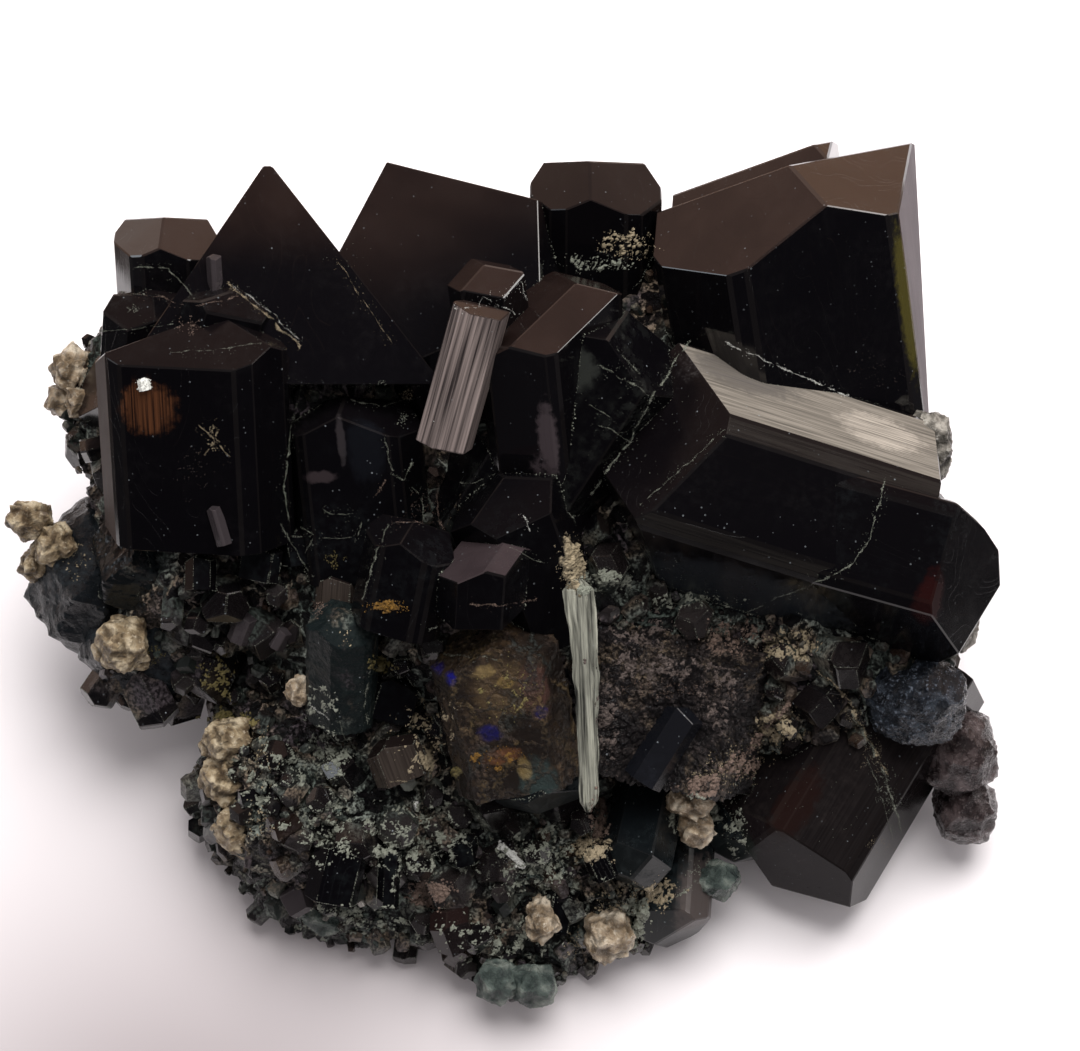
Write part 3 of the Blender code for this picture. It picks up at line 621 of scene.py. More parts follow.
LARGE_CRYSTALS = {
    "top_right": dict(
        tip=(22.8, 32.9, -4), lean=10.5, nod=25, spin=16, sides=(7.3, 9.5, 26, 14, 12.9, 11.8),
        tips=tip_faces(60), length=36, bevel=0.5, cuts=((74, 101.3, 14.7),), finish="sided",
    ),
    "top_right_blade": dict(
        tip=(25.6, 35.6, -11), lean=10.5, nod=25, spin=16, sides=(3, 1.4, 6, 8, 14, 11),
        tips=tip_faces(60), length=30, finish="mirror",
    ),
    "striated_block": dict(
        tip=(3.8, 7.8, -3.2), lean=73, nod=8.6, spin=-3, sides=(9.5, 9.6, 10.8, 9.5, 11.4, 9.2),
        tips=tip_faces(30, STEEP_TIP_DEG), length=31, bevel=0.6, finish="satin",
    ),
    "right_point": dict(
        tip=(41.9, -2.8, -4), lean=-105.5, nod=8, spin=8, sides=(9.0, 9.2, 11.8, 8.5, 0.3, 8.2),
        tips=tip_faces(0, drops=(0, -2.5, 0)), length=28, bevel=0.4, cuts=((-98, 66.4, 1.1),), finish="black",
    ),
    "lower_right": dict(
        tip=(22.0, -34.2, -16), lean=148, nod=8, spin=-8, sides=(8, 8.1, 7.6, 8, 8, 7.5),
        tips=tip_faces(0) + [(60, STEEP_TIP_DEG, -4.2)], length=26, bevel=0.4, finish="dark brown",
    ),
    "centre": dict(
        tip=(3.2, 21.7, 1.5), lean=6, nod=30, spin=-15, sides=(8, 3.3, 4, 6, 9, 10.3),
        tips=tip_faces(30), length=28, bevel=0.3, finish="mirror",
    ),
    "centre_right": dict(
        tip=(7.9, 19.4, -0.8), lean=-33, nod=20, spin=0, sides=(6, 7.6, 7, 7, 7, 6),
        tips=tip_faces(60), length=26, finish="dull",
    ),
    "slim_striated": dict(
        tip=(-5.3, 19.4, 6), lean=-16, nod=15, spin=20, sides=(2.6, 2.5, 2.5, 2.5, 2.0, 2.6),
        tips=((0, 8, 0), (180, 8, 0)), length=13, finish="silver",
    ),
    "top_centre": dict(
        tip=(4.6, 33.8, -9), lean=0, nod=30, spin=0, sides=(5.5, 6.5, 6, 6, 5, 5.5),
        tips=tip_faces(60), length=22, bevel=0.5, finish="shaded",
    ),
    "upper_left_large": dict(
        tip=(-14.2, 33.7, -9), lean=24, nod=30, spin=0, sides=(13, 13, 10, 8, 10, 12),
        tips=tip_faces(0, STEEP_TIP_DEG), length=26, finish="faded",
    ),
    "pyramid": dict(
        tip=(-25.2, 33.8, -8), lean=0, nod=0, spin=0, sides=(20, 20, 20, 20, 20, 20),
        tips=((0, 74, 0), (-106, 62, 0), (106, 56, 0), (180, 80, -80)), length=21, cuts=((0, 0, -0.6),),
        finish="faded",
    ),
    "top_left_small": dict(
        tip=(-34.9, 28.6, -9), lean=0, nod=28, spin=0, sides=(4.6, 5.2, 4.5, 4, 4.5, 4.4),
        tips=tip_faces(60), length=20, bevel=0.4, finish="mirror",
    ),
    "left_block": dict(
        tip=(-29.4, 19.3, -2), lean=1, nod=20, spin=-12, sides=(6.5, 7.1, 5.6, 9, 10.5, 10.4),
        tips=tip_faces(0), length=21, bevel=0.5, finish="black, one side grey",
    ),
    "inner_left": dict(
        tip=(-17.8, 11.9, -5), lean=5, nod=15, spin=-10, sides=(4, 6.4, 6, 6, 6, 5.4),
        tips=tip_faces(60), length=17, bevel=0.3, finish="black",
    ),
    "middle_dark": dict(
        tip=(-11.2, 0.5, 2), lean=-12, nod=20, spin=-10, sides=(4, 4.7, 3.5, 4, 4, 3.8),
        tips=tip_faces(60), length=10, bevel=0.3, finish="black",
    ),
    "middle_back": dict(
        tip=(-3.2, 4.4, 1), lean=20, nod=30, spin=10, sides=(5, 4.2, 5, 5, 5.6, 5.5),
        tips=tip_faces(0), length=16, finish="deep black",
    ),
    "middle_front": dict(
        tip=(-3.1, -1.6, 4.5), lean=-4, nod=28, spin=6, sides=(3.4, 1.6, 3, 4, 5.0, 5.4),
        tips=tip_faces(30), length=7, finish="lavender tip",
    ),
    "green_block": dict(
        tip=(-18.0, -7.6, -0.5), lean=-3, nod=35, spin=20, sides=(3.4, 3.4, 3.2, 3, 3, 2.9),
        tips=tip_faces(0), length=12, bevel=0.3, finish="teal",
    ),
    "smoky_block": dict(
        tip=(-4.6, -8.6, -1), lean=12, nod=18, spin=-6, sides=(4.2, 5.4, 5, 5, 5, 5.8),
        tips=tip_faces(60), length=16, finish="smoky",
    ),
    "teal_foot": dict(
        tip=(-0.2, -26.5, -5.5), lean=186, nod=6, spin=14, sides=(3.8, 3.2, 4, 4, 4, 3.4),
        tips=tip_faces(60), length=12, finish="green",
    ),
    "etched": dict(
        tip=(14.4, -7.4, -9), lean=-14, nod=10, spin=6, sides=(7, 8.5, 9, 9, 9, 11),
        tips=tip_faces(0), length=16.5, bevel=0.5, finish="etched",
    ),
    "long_strip": dict(
        tip=(3.4, -4.8, 2.6), lean=2.5, nod=5, spin=10, sides=(1.0, 1.1, 1.2, 2.4, 1.3, 1.2),
        tips=tip_faces(0), length=21, finish="strip",
    ),
    "front_right": dict(
        tip=(10.8, -39.5, -14), lean=175, nod=25, spin=20, sides=(4, 2.3, 4, 4, 4.6, 5.3),
        tips=tip_faces(0), length=14, bevel=0.3, finish="green",
    ),
    "front_dark": dict(
        tip=(4.5, -40.0, -16), lean=180, nod=30, spin=0, sides=(2.5, 3, 3, 3, 3, 3),
        tips=tip_faces(0), length=12, finish="mirror",
    ),
    "front_upper": dict(
        tip=(8.4, -32.6, -7), lean=165, nod=40, spin=10, sides=(3, 3, 3, 3, 3, 3),
        tips=tip_faces(30), length=12, finish="green",
    ),
    "front_green": dict(
        tip=(18.3, -32.0, -16), lean=166, nod=12, spin=25, sides=(3.4, 3.6, 4, 4, 3.4, 3.2),
        tips=tip_faces(0), length=15, finish="green",
    ),
    "left_step": dict(
        tip=(-34.6, 24.0, -9), lean=6, nod=34, spin=-8, sides=(4, 4.6, 4, 4, 4.4, 4.4),
        tips=tip_faces(30), length=14, finish="black",
    ),
    "left_ledge": dict(
        tip=(-35.6, 21.2, -6.5), lean=-8, nod=30, spin=14, sides=(3.4, 4, 4, 4, 4, 3.8),
        tips=tip_faces(60), length=12, finish="black",
    ),
    "inner_ledge": dict(
        tip=(-27.4, 21.6, -3.5), lean=-20, nod=22, spin=24, sides=(3.2, 3.4, 3, 3, 4, 4.4),
        tips=tip_faces(0), length=10, finish="black",
    ),
    "small_brown_top": dict(
        tip=(-5.0, 23.4, 1), lean=8, nod=32, spin=-12, sides=(3.0, 3.2, 3, 3, 3.2, 3.2),
        tips=tip_faces(30), length=12, finish="mirror",
    ),
    "left_lobe": dict(
        tip=(-42.0, -1.0, -12), lean=70, nod=20, spin=20, sides=(5.5, 5.5, 5, 5, 5, 5.5),
        tips=tip_faces(0), length=16, finish="green",
    ),
    "left_toe": dict(
        tip=(-43.2, -7.4, -17), lean=112, nod=10, spin=-14, sides=(4.5, 4.5, 4.5, 5, 5, 4.5),
        tips=tip_faces(30), length=16, finish="green",
    ),
    "left_back": dict(
        tip=(-41.8, 15.6, -13), lean=50, nod=20, spin=0, sides=(4.5, 4.5, 4, 4, 4.5, 4.5),
        tips=tip_faces(60), length=16, finish="dusty",
    ),
}


def rough_ball(planes, finer, relief, grain, seed, crumb=0.0):
    """A solid as a fine mesh, pitted inwards up to relief with hollows of about grain, and broken
    into crumbs of that size. Its pits go from 0 where it is untouched to 1 in the deepest."""
    ball = bmesh.new()
    bmesh.ops.create_icosphere(ball, subdivisions=finer, radius=1.0)
    ways = np.array([vert.co for vert in ball.verts])
    faces = [[vert.index for vert in face.verts] for face in ball.faces]
    ball.free()
    normals = np.array([normal for normal, _distance in planes])
    distances = np.array([distance for _normal, distance in planes])
    reach = (distances / np.maximum(ways @ normals.T, 1e-6)).min(axis=1)
    points = ways * reach[:, None]
    shift = Vector((seed * 7.1, seed * 3.3, 0))
    pits = np.zeros(len(points))
    for k, point in enumerate(points):
        place = Vector(point) / grain + shift
        pit = min(noise.turbulence(place, 4, True, amplitude_scale=0.55, frequency_scale=2.1), 1.2)
        if crumb:
            near, farther = noise.voronoi(Vector(point) / crumb + shift)[0][:2]
            pit = 0.7 * pit + 0.45 * max(0.0, 1.0 - 3.0 * (farther - near))
        pits[k] = pit
    points *= (1 - relief * pits / np.maximum(reach, 1.0))[:, None]
    return points, faces, None, pits


# The side faces with a painted silver sheen, or a faint lighter painted shade, as the turn of each
# about the crystal and how strongly it shows
PAINTED_SHEEN_SIDES = {
    "top_right": {76: 1.0},
    "left_block": {-72: 1.0},
    "striated_block": {57: 1.0, 27: 0.06, -33: 0.06},
    "lower_right": {-8: 0.02, -38: 0.02},
    "slim_striated": {20: 1.0, 80: 1.0, -40: 1.0},
}

# Crystals that aren't clean growths, as (fineness, relief, size of the hollows, size of the crumbs)
CRUST_TOP = 1.3
ROUGH_CRYSTALS = {
    "etched": (7, 0.9, 1.5, 0.9),
    "smoky_block": (6, 0.4, 2.6, 0.0),
    "green_block": (6, 0.22, 2.2, 0.0),
    "left_lobe": (6, 0.5, 4.5, 0.0),
    "left_toe": (6, 0.5, 4.5, 0.0),
}


def fibrous(length, half_top, half_foot, depth, seed):
    """A ragged bundle of fibres along Z, narrower at its foot."""
    rows, sides = 110, 56
    points, faces = [], []
    for row in range(rows):
        part = row / (rows - 1)
        z = -length * part
        half = half_top + (half_foot - half_top) * part
        end = min(1.0, 16.0 * min(part, 1 - part) + 0.3)
        half *= end * (1.0 + 0.16 * noise.noise(Vector((seed, 0, z / 2.0))))
        bend = 0.35 * math.sin(math.pi * part) + 0.12 * noise.noise(Vector((seed, 5, z / 3.0)))
        for side in range(sides):
            turn = 2 * math.pi * side / sides
            around_it = Vector((math.cos(turn) * 2.2, math.sin(turn) * 2.2, seed))
            fibre = 0.15 * noise.noise(around_it * 1.2 + Vector((0, 0, z / 5)))
            fibre += 0.10 * noise.noise(around_it * 3.4 + Vector((0, 0, z / 3)))
            fibre += 0.04 * noise.noise(around_it * 6.0 + Vector((0, 0, z / 0.7)))
            across = half * math.sin(turn) * (1 + fibre) + bend
            points.append((depth * math.cos(turn) * end + fibre, across, z))
    for row in range(rows - 1):
        for side in range(sides):
            following = (side + 1) % sides
            upper, lower = row * sides, (row + 1) * sides
            faces.append([upper + side, upper + following, lower + following, lower + side])
    faces.append(list(range(sides))[::-1])
    faces.append([(rows - 1) * sides + k for k in range(sides)])
    return np.array(points), [face[::-1] for face in faces], None, None


def frame_pixel(u, v):
    """The way from the camera through a pixel of the frame, in the face frame."""
    return Vector(((u - IMAGE_WIDE / 2) * PIXEL, (IMAGE_HIGH / 2 - v) * PIXEL, -CAMERA_AWAY)).normalized()


SHAPED_BY = ("sides", "tips", "length", "spin", "bevel", "cuts")
large = []
faces_seen, points_seen = [], []
for made in LARGE_CRYSTALS.values():
    planes = crystal_planes(**{part: made[part] for part in SHAPED_BY if part in made})
    matrix = crystal_frame(made["tip"], made["lean"], made["nod"])
    large.append((matrix, planes))
    points, faces, _marks, _pits = solid(planes)
    faces_seen += [[len(points_seen) + k for k in face] for face in faces]
    points_seen += [matrix @ Vector(point) for point in points]
FACE_FROM_WORLD = SPECIMEN.inverted()
CAMERA_SPOT = Vector((0, 0, CAMERA_AWAY))
crystals_seen = BVHTree.FromPolygons(points_seen, faces_seen)

# Stains and lighter patches on the large crystals, with painted shade and a painted highlight among
# them, each as its pixel in the frame, its radii in mm, its colour, its strength and whether it follows
# the streaks
STAINS_AND_PAINTED_LIGHT = {
    "striated_block": (
        # On the silver face: painted shade darkening its left, then a painted highlight on its right
        ((745, 376), (3.0, 6.0, 6.5), "#3f3c3c", 0.8, True),
        ((880, 432), (3.0, 4.0, 5.0), "#b3a99d", 0.7, True),
        ((740, 592), (6.0, 5.0, 13.0), "#1d2024", 0.9, False),
    ),
    "left_block": (
        ((148, 408), (3.0, 3.2, 3.0), "#54331f", 0.85, True),
        ((98, 430), (3.0, 0.7, 8.0), "#4b403d", 0.5, True),
    ),
    "centre": (
        ((540, 486), (3.0, 2.4, 3.4), "#40383b", 0.9, False),
        ((548, 440), (3.0, 1.1, 4.6), "#40383b", 0.9, False),
    ),
    "inner_left": (
        ((341, 440), (2.0, 0.5, 2.8), "#2f2b2d", 0.8, False),
        ((320, 477), (2.0, 1.9, 0.7), "#2f282a", 0.9, False),
        ((366, 450), (2.5, 2.2, 3.8), "#14161b", 0.5, False),
    ),
    "lower_right": (
        ((795, 805), (3.0, 2.2, 5.0), "#1c100e", 0.8, False),
        ((740, 850), (3.0, 2.2, 5.0), "#1f2421", 0.8, False),
    ),
    "front_right": (((700, 905), (4.0, 3.0, 6.0), "#453e3c", 0.85, False),),
    "right_point": (((928, 604), (4.0, 3.8, 1.5), "#240b0a", 0.75, False),),
    "top_right": (((906, 300), (1.4, 1.3, 9.0), "#4c4616", 0.7, False),),
    "centre_right": (((575, 370), (2.2, 2.6, 2.4), "#2c2e2b", 0.8, False),),
    "smoky_block": (
        ((505, 690), (5.0, 3.6, 3.4), "#4b3c29", 0.8, False),
        ((535, 690), (4.0, 1.6, 3.4), "#46302a", 0.8, False),
        ((484, 672), (2.0, 1.2, 0.8), "#786540", 0.8, False),
        ((505, 683), (2.0, 1.0, 0.7), "#7f6836", 0.8, False),
        ((449, 680), (1.6, 0.8, 0.9), "#08086a", 0.95, False),
        ((436, 668), (1.6, 0.9, 0.9), "#1c1650", 0.7, False),
        ((490, 734), (2.0, 1.3, 1.0), "#0f0d46", 0.9, False),
        ((541, 712), (1.6, 0.8, 0.8), "#1c1a4c", 0.8, False),
        ((500, 757), (3.0, 2.2, 1.0), "#563722", 0.85, False),
        ((540, 785), (4.0, 2.2, 3.0), "#2b3736", 0.85, False),
        ((525, 770), (3.0, 0.8, 1.4), "#75623c", 0.6, False),
    ),
}
for number, (name, made) in enumerate(LARGE_CRYSTALS.items()):
    matrix, planes = large[number]
    stains_and_painted_light = []
    for (u, v), radii, colour, strength, follows in STAINS_AND_PAINTED_LIGHT.get(name, ()):
        spot = crystals_seen.ray_cast(CAMERA_SPOT, frame_pixel(u, v))[0]
        stains_and_painted_light.append((matrix.inverted() @ spot, radii, colour, strength, follows))
    material = schorl(
        f"schorl, {name.replace('_', ' ')}", stains_and_painted_light=stains_and_painted_light, painted_sheen_sided=name in PAINTED_SHEEN_SIDES,
        **FINISHES[made["finish"]],
    )
    if name in ROUGH_CRYSTALS:
        middle = Vector((0, 0, -made["length"] / 2))
        closed = planes + [table_plane(matrix)]
        closed = [(normal, distance - normal.dot(middle)) for normal, distance in closed]
        finer, relief, hollow, crumb = ROUGH_CRYSTALS[name]
        shape = rough_ball(closed, finer, relief, hollow, number, crumb)
        shape[0][:] += np.array(middle)
        shape[3][:] = CRUST_TOP - CRUST_TOP * shape[3]
    elif name == "long_strip":
        shape = fibrous(made["length"], half_top=1.35, half_foot=0.75, depth=0.7, seed=number)
    else:
        shape = solid(planes + [table_plane(matrix)], WORN_EDGE, number, PAINTED_SHEEN_SIDES.get(name, {}))
    crystal = growth_piece(f"crystal_{name}", [(shape, matrix, 1.0, number, 99.0)], material)
    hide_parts("tourmaline_cluster")

# The matrix that the crystals grew from: a coarse intergrowth of the same mineral, coated with
# greenish white and grey films. Rounded lumps carry it, as (centre, radii, facets).
MATRIX_LUMPS = (
    ((0, -4, -20), (33, 25, 16), 44),
    ((-31, -2, -18), (13, 13, 11), 30),
    ((-42, -5, -19), (6, 8, 7), 24),
    ((-37, -11, -19), (8, 6, 7), 24),
    ((-39, 10, -19), (6, 10, 8), 24),
    ((-15, -25, -20), (19.5, 16.5, 12.5), 36),
    ((-2, -36, -18), (9, 9.5, 6), 24),
    ((1, -32, -20), (17, 11, 10), 30),
    ((27, -9, -18), (14, 17, 13), 30),
    ((-22, 12.5, -20), (17, 11.5, 14), 30),
    ((18, 14, -20), (19, 17, 14), 30),
    ((2, 6, -35), (28, 22, 13), 34),
)
EVEN_SPREAD_TURN = math.radians(137.508)


def lump_planes(radii, faces, seed):
    """A rough rounded lump: planes spread over an ellipsoid, each moved in or out a little."""
    draw = random.Random(seed)
    planes = []
    for k in range(faces):
        height = 1.0 - (2.0 * k + 1.0) / faces + draw.uniform(-0.5, 0.5) / faces
        turn = EVEN_SPREAD_TURN * k + draw.uniform(-0.35, 0.35)
        level = math.sqrt(max(0.0, 1.0 - height * height))
        normal = Vector((level * math.cos(turn), level * math.sin(turn), height))
        support = math.sqrt(sum((radius * part) ** 2 for radius, part in zip(radii, normal)))
        planes.append((normal, support * draw.uniform(0.86, 1.0)))
    return planes


crusty = schorl(
    "schorl matrix, coated", black="#0a090b", haze=0.6, haze_colour="#232725", painted_tip_tone=0.0, polish=0.2,
    pitted=0.4, specks=0.6, crust=1.0, net=2.4,
)
slate = schorl(
    "schorl matrix, weathered smooth", black="#101316", haze=1.0, haze_colour="#2a3136", painted_tip_tone=0.0,
    polish=0.22, pitted=0.25, gloss=0.3, specks=0.7,
)
SMOOTH_LUMPS = (2, 3)
SMOOTH_SURFACE = (0.6, 4.0, 0.0)
CRUMBLY_SURFACE = (1.3, 3.2, 1.9)
LUMP_FINENESS = {0: 6, 1: 6, 5: 7, 7: 7, 8: 6}
lumps = []
for k, (centre, radii, faces) in enumerate(MATRIX_LUMPS):
    planes = lump_planes(radii, faces, 11 + k)
    matrix = Matrix.Translation(Vector(centre))
    lumps.append((solid(planes), matrix, planes))
    relief, hollow, crumb = SMOOTH_SURFACE if k in SMOOTH_LUMPS else CRUMBLY_SURFACE
    shape = rough_ball(planes + [table_plane(matrix)], LUMP_FINENESS.get(k, 5), relief, hollow, k, crumb)
    shape[3][:] = CRUST_TOP - CRUST_TOP * shape[3]
    coat = slate if k in SMOOTH_LUMPS else crusty
    mass = growth_piece(f"matrix_mass_{k}", [(shape, matrix, 1.0, 100.0 + k, 0.0)], coat)
    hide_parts("tourmaline_cluster")

# The smaller crystals of the same mineral, grown from the matrix at all angles. None stand on the
# bare lobe at the left, inside a larger crystal, or above the level that the large ones cover.
COVERED_UP_TO = 17.0
BARE_LOBE = Vector((-43.0, -4.5, 0.0))
BARE_REACH = 9.5
WANDER = 0.8
ROOT = 1.5
SPOTS_TRIED = 2600
COVERING = (
    dict(most=56, half_width=(1.5, 2.7), stand_out=(1.0, 2.6), apart=4.2, clear=1.6),
    dict(most=150, half_width=(0.8, 1.6), stand_out=(0.8, 2.0), apart=2.5, clear=0.8),
)

# Where the grains of other minerals sit in the matrix, each as the middles and radii of its lumps
GRAINS = {
    "feldspar_left_edge": (
        ((-48.3, 0.5, -15), (2.5, 1.9, 2.6)),
        ((-45.8, -1.8, -15), (2.3, 2.4, 2.8)),
        ((-47.8, -3.8, -17), (1.9, 1.8, 2.4)),
    ),
    "feldspar_upper_left": (
        ((-44.4, 14.8, -16), (2.2, 2.5, 2.6)),
        ((-43.2, 11.7, -15.5), (1.8, 1.9, 2.4)),
        ((-45.7, 12.0, -17.5), (1.7, 1.7, 2.2)),
    ),
    "feldspar_lower_left": (((-39.0, -11.0, -12.0), (2.7, 3.0, 3.4)),),
    "feldspar_front_left": (
        ((-29.3, -20.2, -13.5), (2.7, 2.4, 3.0)),
        ((-29.8, -23.8, -14.0), (2.7, 2.7, 3.2)),
        ((-28.0, -28.4, -14.5), (2.8, 3.2, 3.6)),
    ),
    "feldspar_chip": (((-22.0, -15.2, -6.5), (1.5, 1.7, 2.0)),),
    "feldspar_front": (((0.1, -36.8, -11.5), (1.7, 2.5, 2.6)),),
    "feldspar_front_right": (((6.4, -38.4, -12.5), (2.8, 2.6, 3.0)),),
    "feldspar_crust": (
        ((14.0, -25.6, -9.5), (2.6, 1.8, 2.6)),
        ((14.6, -28.2, -10.5), (2.0, 2.0, 2.6)),
    ),
    "smoky_quartz_upper": (((34.8, -16.2, -9.0), (5.2, 4.4, 5.0)),),
    "smoky_quartz_lower": (
        ((39.4, -21.4, -17), (4.2, 4.6, 5.0)),
        ((40.6, -27.2, -19), (3.4, 3.4, 4.2)),
    ),
    "quartz_chip": (((35.8, 7.2, -8.5), (2.6, 3.6, 3.2)),),
    "quartz_splinter": (((39.6, -9.6, -14), (1.7, 2.6, 2.6)),),
    "hyalite_front_left": (
        ((-20.4, -36.8, -17.0), (3.0, 2.0, 3.0)),
        ((-16.6, -37.0, -17.0), (2.8, 2.2, 3.0)),
    ),
    "hyalite_front": (
        ((-3.9, -42.9, -12.9), (2.3, 2.3, 2.4)),
        ((-0.7, -43.1, -12.7), (2.5, 2.2, 2.4)),
    ),
    "hyalite_foot": (((16.6, -33.4, -14.5), (2.6, 1.9, 2.4)),),
}


def outside(point, matrix, planes):
    """How far a face-frame point is outside a solid made of planes, or a negative depth."""
    local = matrix.inverted() @ point
    return max(normal.dot(local) - distance for normal, distance in planes)


def scattered(draw, count):
    """Points spread evenly over the outside of the lumps, each with the surface's normal."""
    corners_of = []
    areas = []
    for index, ((points, faces, _marks, _pits), matrix, _planes) in enumerate(lumps):
        for face in faces:
            ring = [matrix @ Vector(points[k]) for k in face]
            for b, c in zip(ring[1:], ring[2:]):
                across = (b - ring[0]).cross(c - ring[0])
                corners_of.append((index, (ring[0], b, c), across.normalized()))
                areas.append(across.length)
    for index, (a, b, c), normal in draw.choices(corners_of, weights=areas, k=count):
        first, second = draw.random(), draw.random()
        if first + second > 1.0:
            first, second = 1.0 - first, 1.0 - second
        spot = a + (b - a) * first + (c - a) * second
        buried = any(
            outside(spot, matrix, planes) < -0.3
            for other, (_solid, matrix, planes) in enumerate(lumps)
            if other != index
        )
        if not buried:
            yield spot, normal


def upright(z, spot):
    """A frame whose Z is the given way, at the given place."""
    x = z.orthogonal().normalized()
    matrix = Matrix((x, z.cross(x), z)).transposed().to_4x4()
    matrix.translation = spot
    return matrix


draw = random.Random(41)
placed = []
reaches = [(Vector(centre), max(radii)) for grown in GRAINS.values() for centre, radii in grown]
standing = []
for size in COVERING:
    made = 0
    for spot, normal in scattered(draw, SPOTS_TRIED):
        half_width = draw.uniform(*size["half_width"])
        stand_out = draw.uniform(*size["stand_out"])
        wander = Vector((draw.uniform(-1, 1), draw.uniform(-1, 1), draw.uniform(-1, 1)))
        spin = draw.uniform(0, 60)
        shape = [draw.uniform(0.78, 1.15) for _side in range(6)]
        turn = draw.choice((0, 30, 60))
        if made >= size["most"] or spot.y > COVERED_UP_TO or (spot - BARE_LOBE).xy.length < BARE_REACH:
            continue
        if (SPECIMEN @ spot).z < half_width * MM:
            continue
        if min(outside(spot, matrix, planes) for matrix, planes in large) < size["clear"]:
            continue
        if any((spot - place).xy.length < reach + half_width for place, reach in reaches):
            continue
        if any((spot - other).length < size["apart"] for other in placed):
            continue
        z = (2 * normal + WANDER * wander).normalized()
        sides = [half_width * part for part in shape]
        planes = crystal_planes(sides, tip_faces(turn), stand_out + half_width + ROOT, spin)
        matrix = upright(z, spot + z * stand_out)
        shape = solid(planes + [table_plane(matrix)], worn=0.08, seed=made)
        standing.append((shape, matrix, 1.0, 200.0 + made, stand_out))
        placed.append(spot)
        made += 1
dusted = schorl(
    "schorl, dusted and rooted in crust", black="#080709", painted_tip_tone=0.15, haze=0.25, haze_colour="#35302f",
    vary=0.45, specks=0.8, polish=0.08, crust=0.5,
)
growth_piece("standing_crystals", standing, dusted)

# Small crystals that show plainly on the face, each with its middle as a pixel of the frame, its half
# widths across and toward the viewer, its length, its lean, nod and spin in degrees, and its finish
SHOWN_CRYSTALS = {
    "upper_bar": ((215, 276), (0.75, 0.9), 4.2, 2, 14, 0, "lavender"),
    "bar_left": ((219, 525), (0.75, 1.0), 3.8, 16, 4, 0, "lavender"),
    "striated_cube": ((337, 591), (2.0, 1.2), 3.4, -4, 6, 0, "brown bars"),
    "left_tile": ((201, 573), (1.5, 1.2), 3.4, 0, -8, 10, "edged"),
    "left_tile_low": ((243, 626), (1.1, 0.9), 3.0, -22, 18, 0, "lavender"),
    "middle_chip": ((281, 637), (0.9, 0.9), 2.2, -30, 10, 0, "lavender"),
    "rounded_cell": ((392, 696), (2.9, 1.6), 4.4, -18, 4, 20, "edged"),
    "etched_facet": ((665, 744), (2.0, 1.6), 8.0, -32, 2, 0, "blue black"),
    "striped_cell": ((396, 756), (2.7, 1.5), 4.2, 20, 14, 5, "brown bars"),
    "dark_front": ((338, 868), (2.6, 1.6), 6.0, -14, 10, 12, "edged"),
    "silvery_bar": ((356, 893), (0.55, 0.8), 2.6, 35, 8, 0, "bright bars"),
    "green_prism": ((389, 876), (1.1, 0.9), 5.6, -3, 6, 8, "edged"),
    "front_tile": ((300, 897), (1.7, 1.1), 2.6, -60, 14, 0, "lavender"),
    "blue_tile": ((462, 846), (1.6, 1.2), 3.0, 10, 18, 0, "edged"),
    # White crust in part, and in part a painted highlight on a bright white spot
    "white_bar_and_painted_highlight": ((513, 856), (0.34, 0.45), 3.0, 47, 4, 0, "white"),
    "rust_chip": ((144, 384), (0.6, 0.5), 1.2, 12, 6, 10, "white"),
    # A tiny white chip standing for a glint: a painted highlight
    "painted_glint_chip": ((416, 805), (0.3, 0.4), 0.9, 10, 20, 0, "white"),
    "low_block": ((452, 925), (2.2, 1.5), 4.0, 18, 34, 15, "brown black"),
    "mid_step": ((300, 545), (2.0, 1.2), 3.2, 8, 12, 10, "edged"),
    "left_flat": ((260, 560), (2.2, 1.2), 3.6, -10, 6, -12, "edged"),
    "lower_block": ((560, 905), (1.8, 1.3), 4.6, -12, 14, 8, "edged"),
    "foot_block": ((600, 860), (1.5, 1.1), 3.2, 24, 20, -6, "edged"),
}
SHOWN_FINISHES = {
    "lavender": dict(
        black="#342f31", tone="#272325", painted_tip_tone=1.0, gloss=0.25, haze=0.3, haze_colour="#484344", polish=0.2,
    ),
    "brown bars": dict(streaks=0.35, silver="#5e544c", black="#181312", gloss=0.25, painted_tip_tone=0.1, specks=0.8),
    "edged": dict(gloss=0.22, painted_tip_tone=0.05, haze=0.5, haze_colour="#23292a", specks=1.0),
    "bright bars": dict(streaks=0.9, silver="#c9c4bc", black="#3a3634", painted_tip_tone=0.0),
    "blue black": dict(
        black="#0f1014", painted_tip_tone=0.0, haze=0.8, haze_colour="#1f2128", gloss=0.25, polish=0.15, specks=0.6,
    ),
    "white": dict(black="#d9d9d3", tone="#e8e8e2", haze=0.3, haze_colour="#f2f2ee", specks=0.0, painted_tip_tone=1.0),
    "brown black": dict(
        black="#120c0c", tone="#1f1514", haze=0.4, haze_colour="#2b201f", gloss=0.3, polish=0.15,
    ),
}


def surface_at(growth, u, v):
    """The first surface behind a pixel of the frame, in the face frame, and its normal."""
    way_there = (SPECIMEN.to_3x3() @ frame_pixel(u, v)).normalized()
    spot, facing, _index, _distance = growth.ray_cast(camera.location, way_there)
    if spot is None:
        return None, None
    if facing.dot(way_there) > 0:
        facing = -facing
    return FACE_FROM_WORLD @ spot, (FACE_FROM_WORLD.to_3x3() @ facing).normalized()


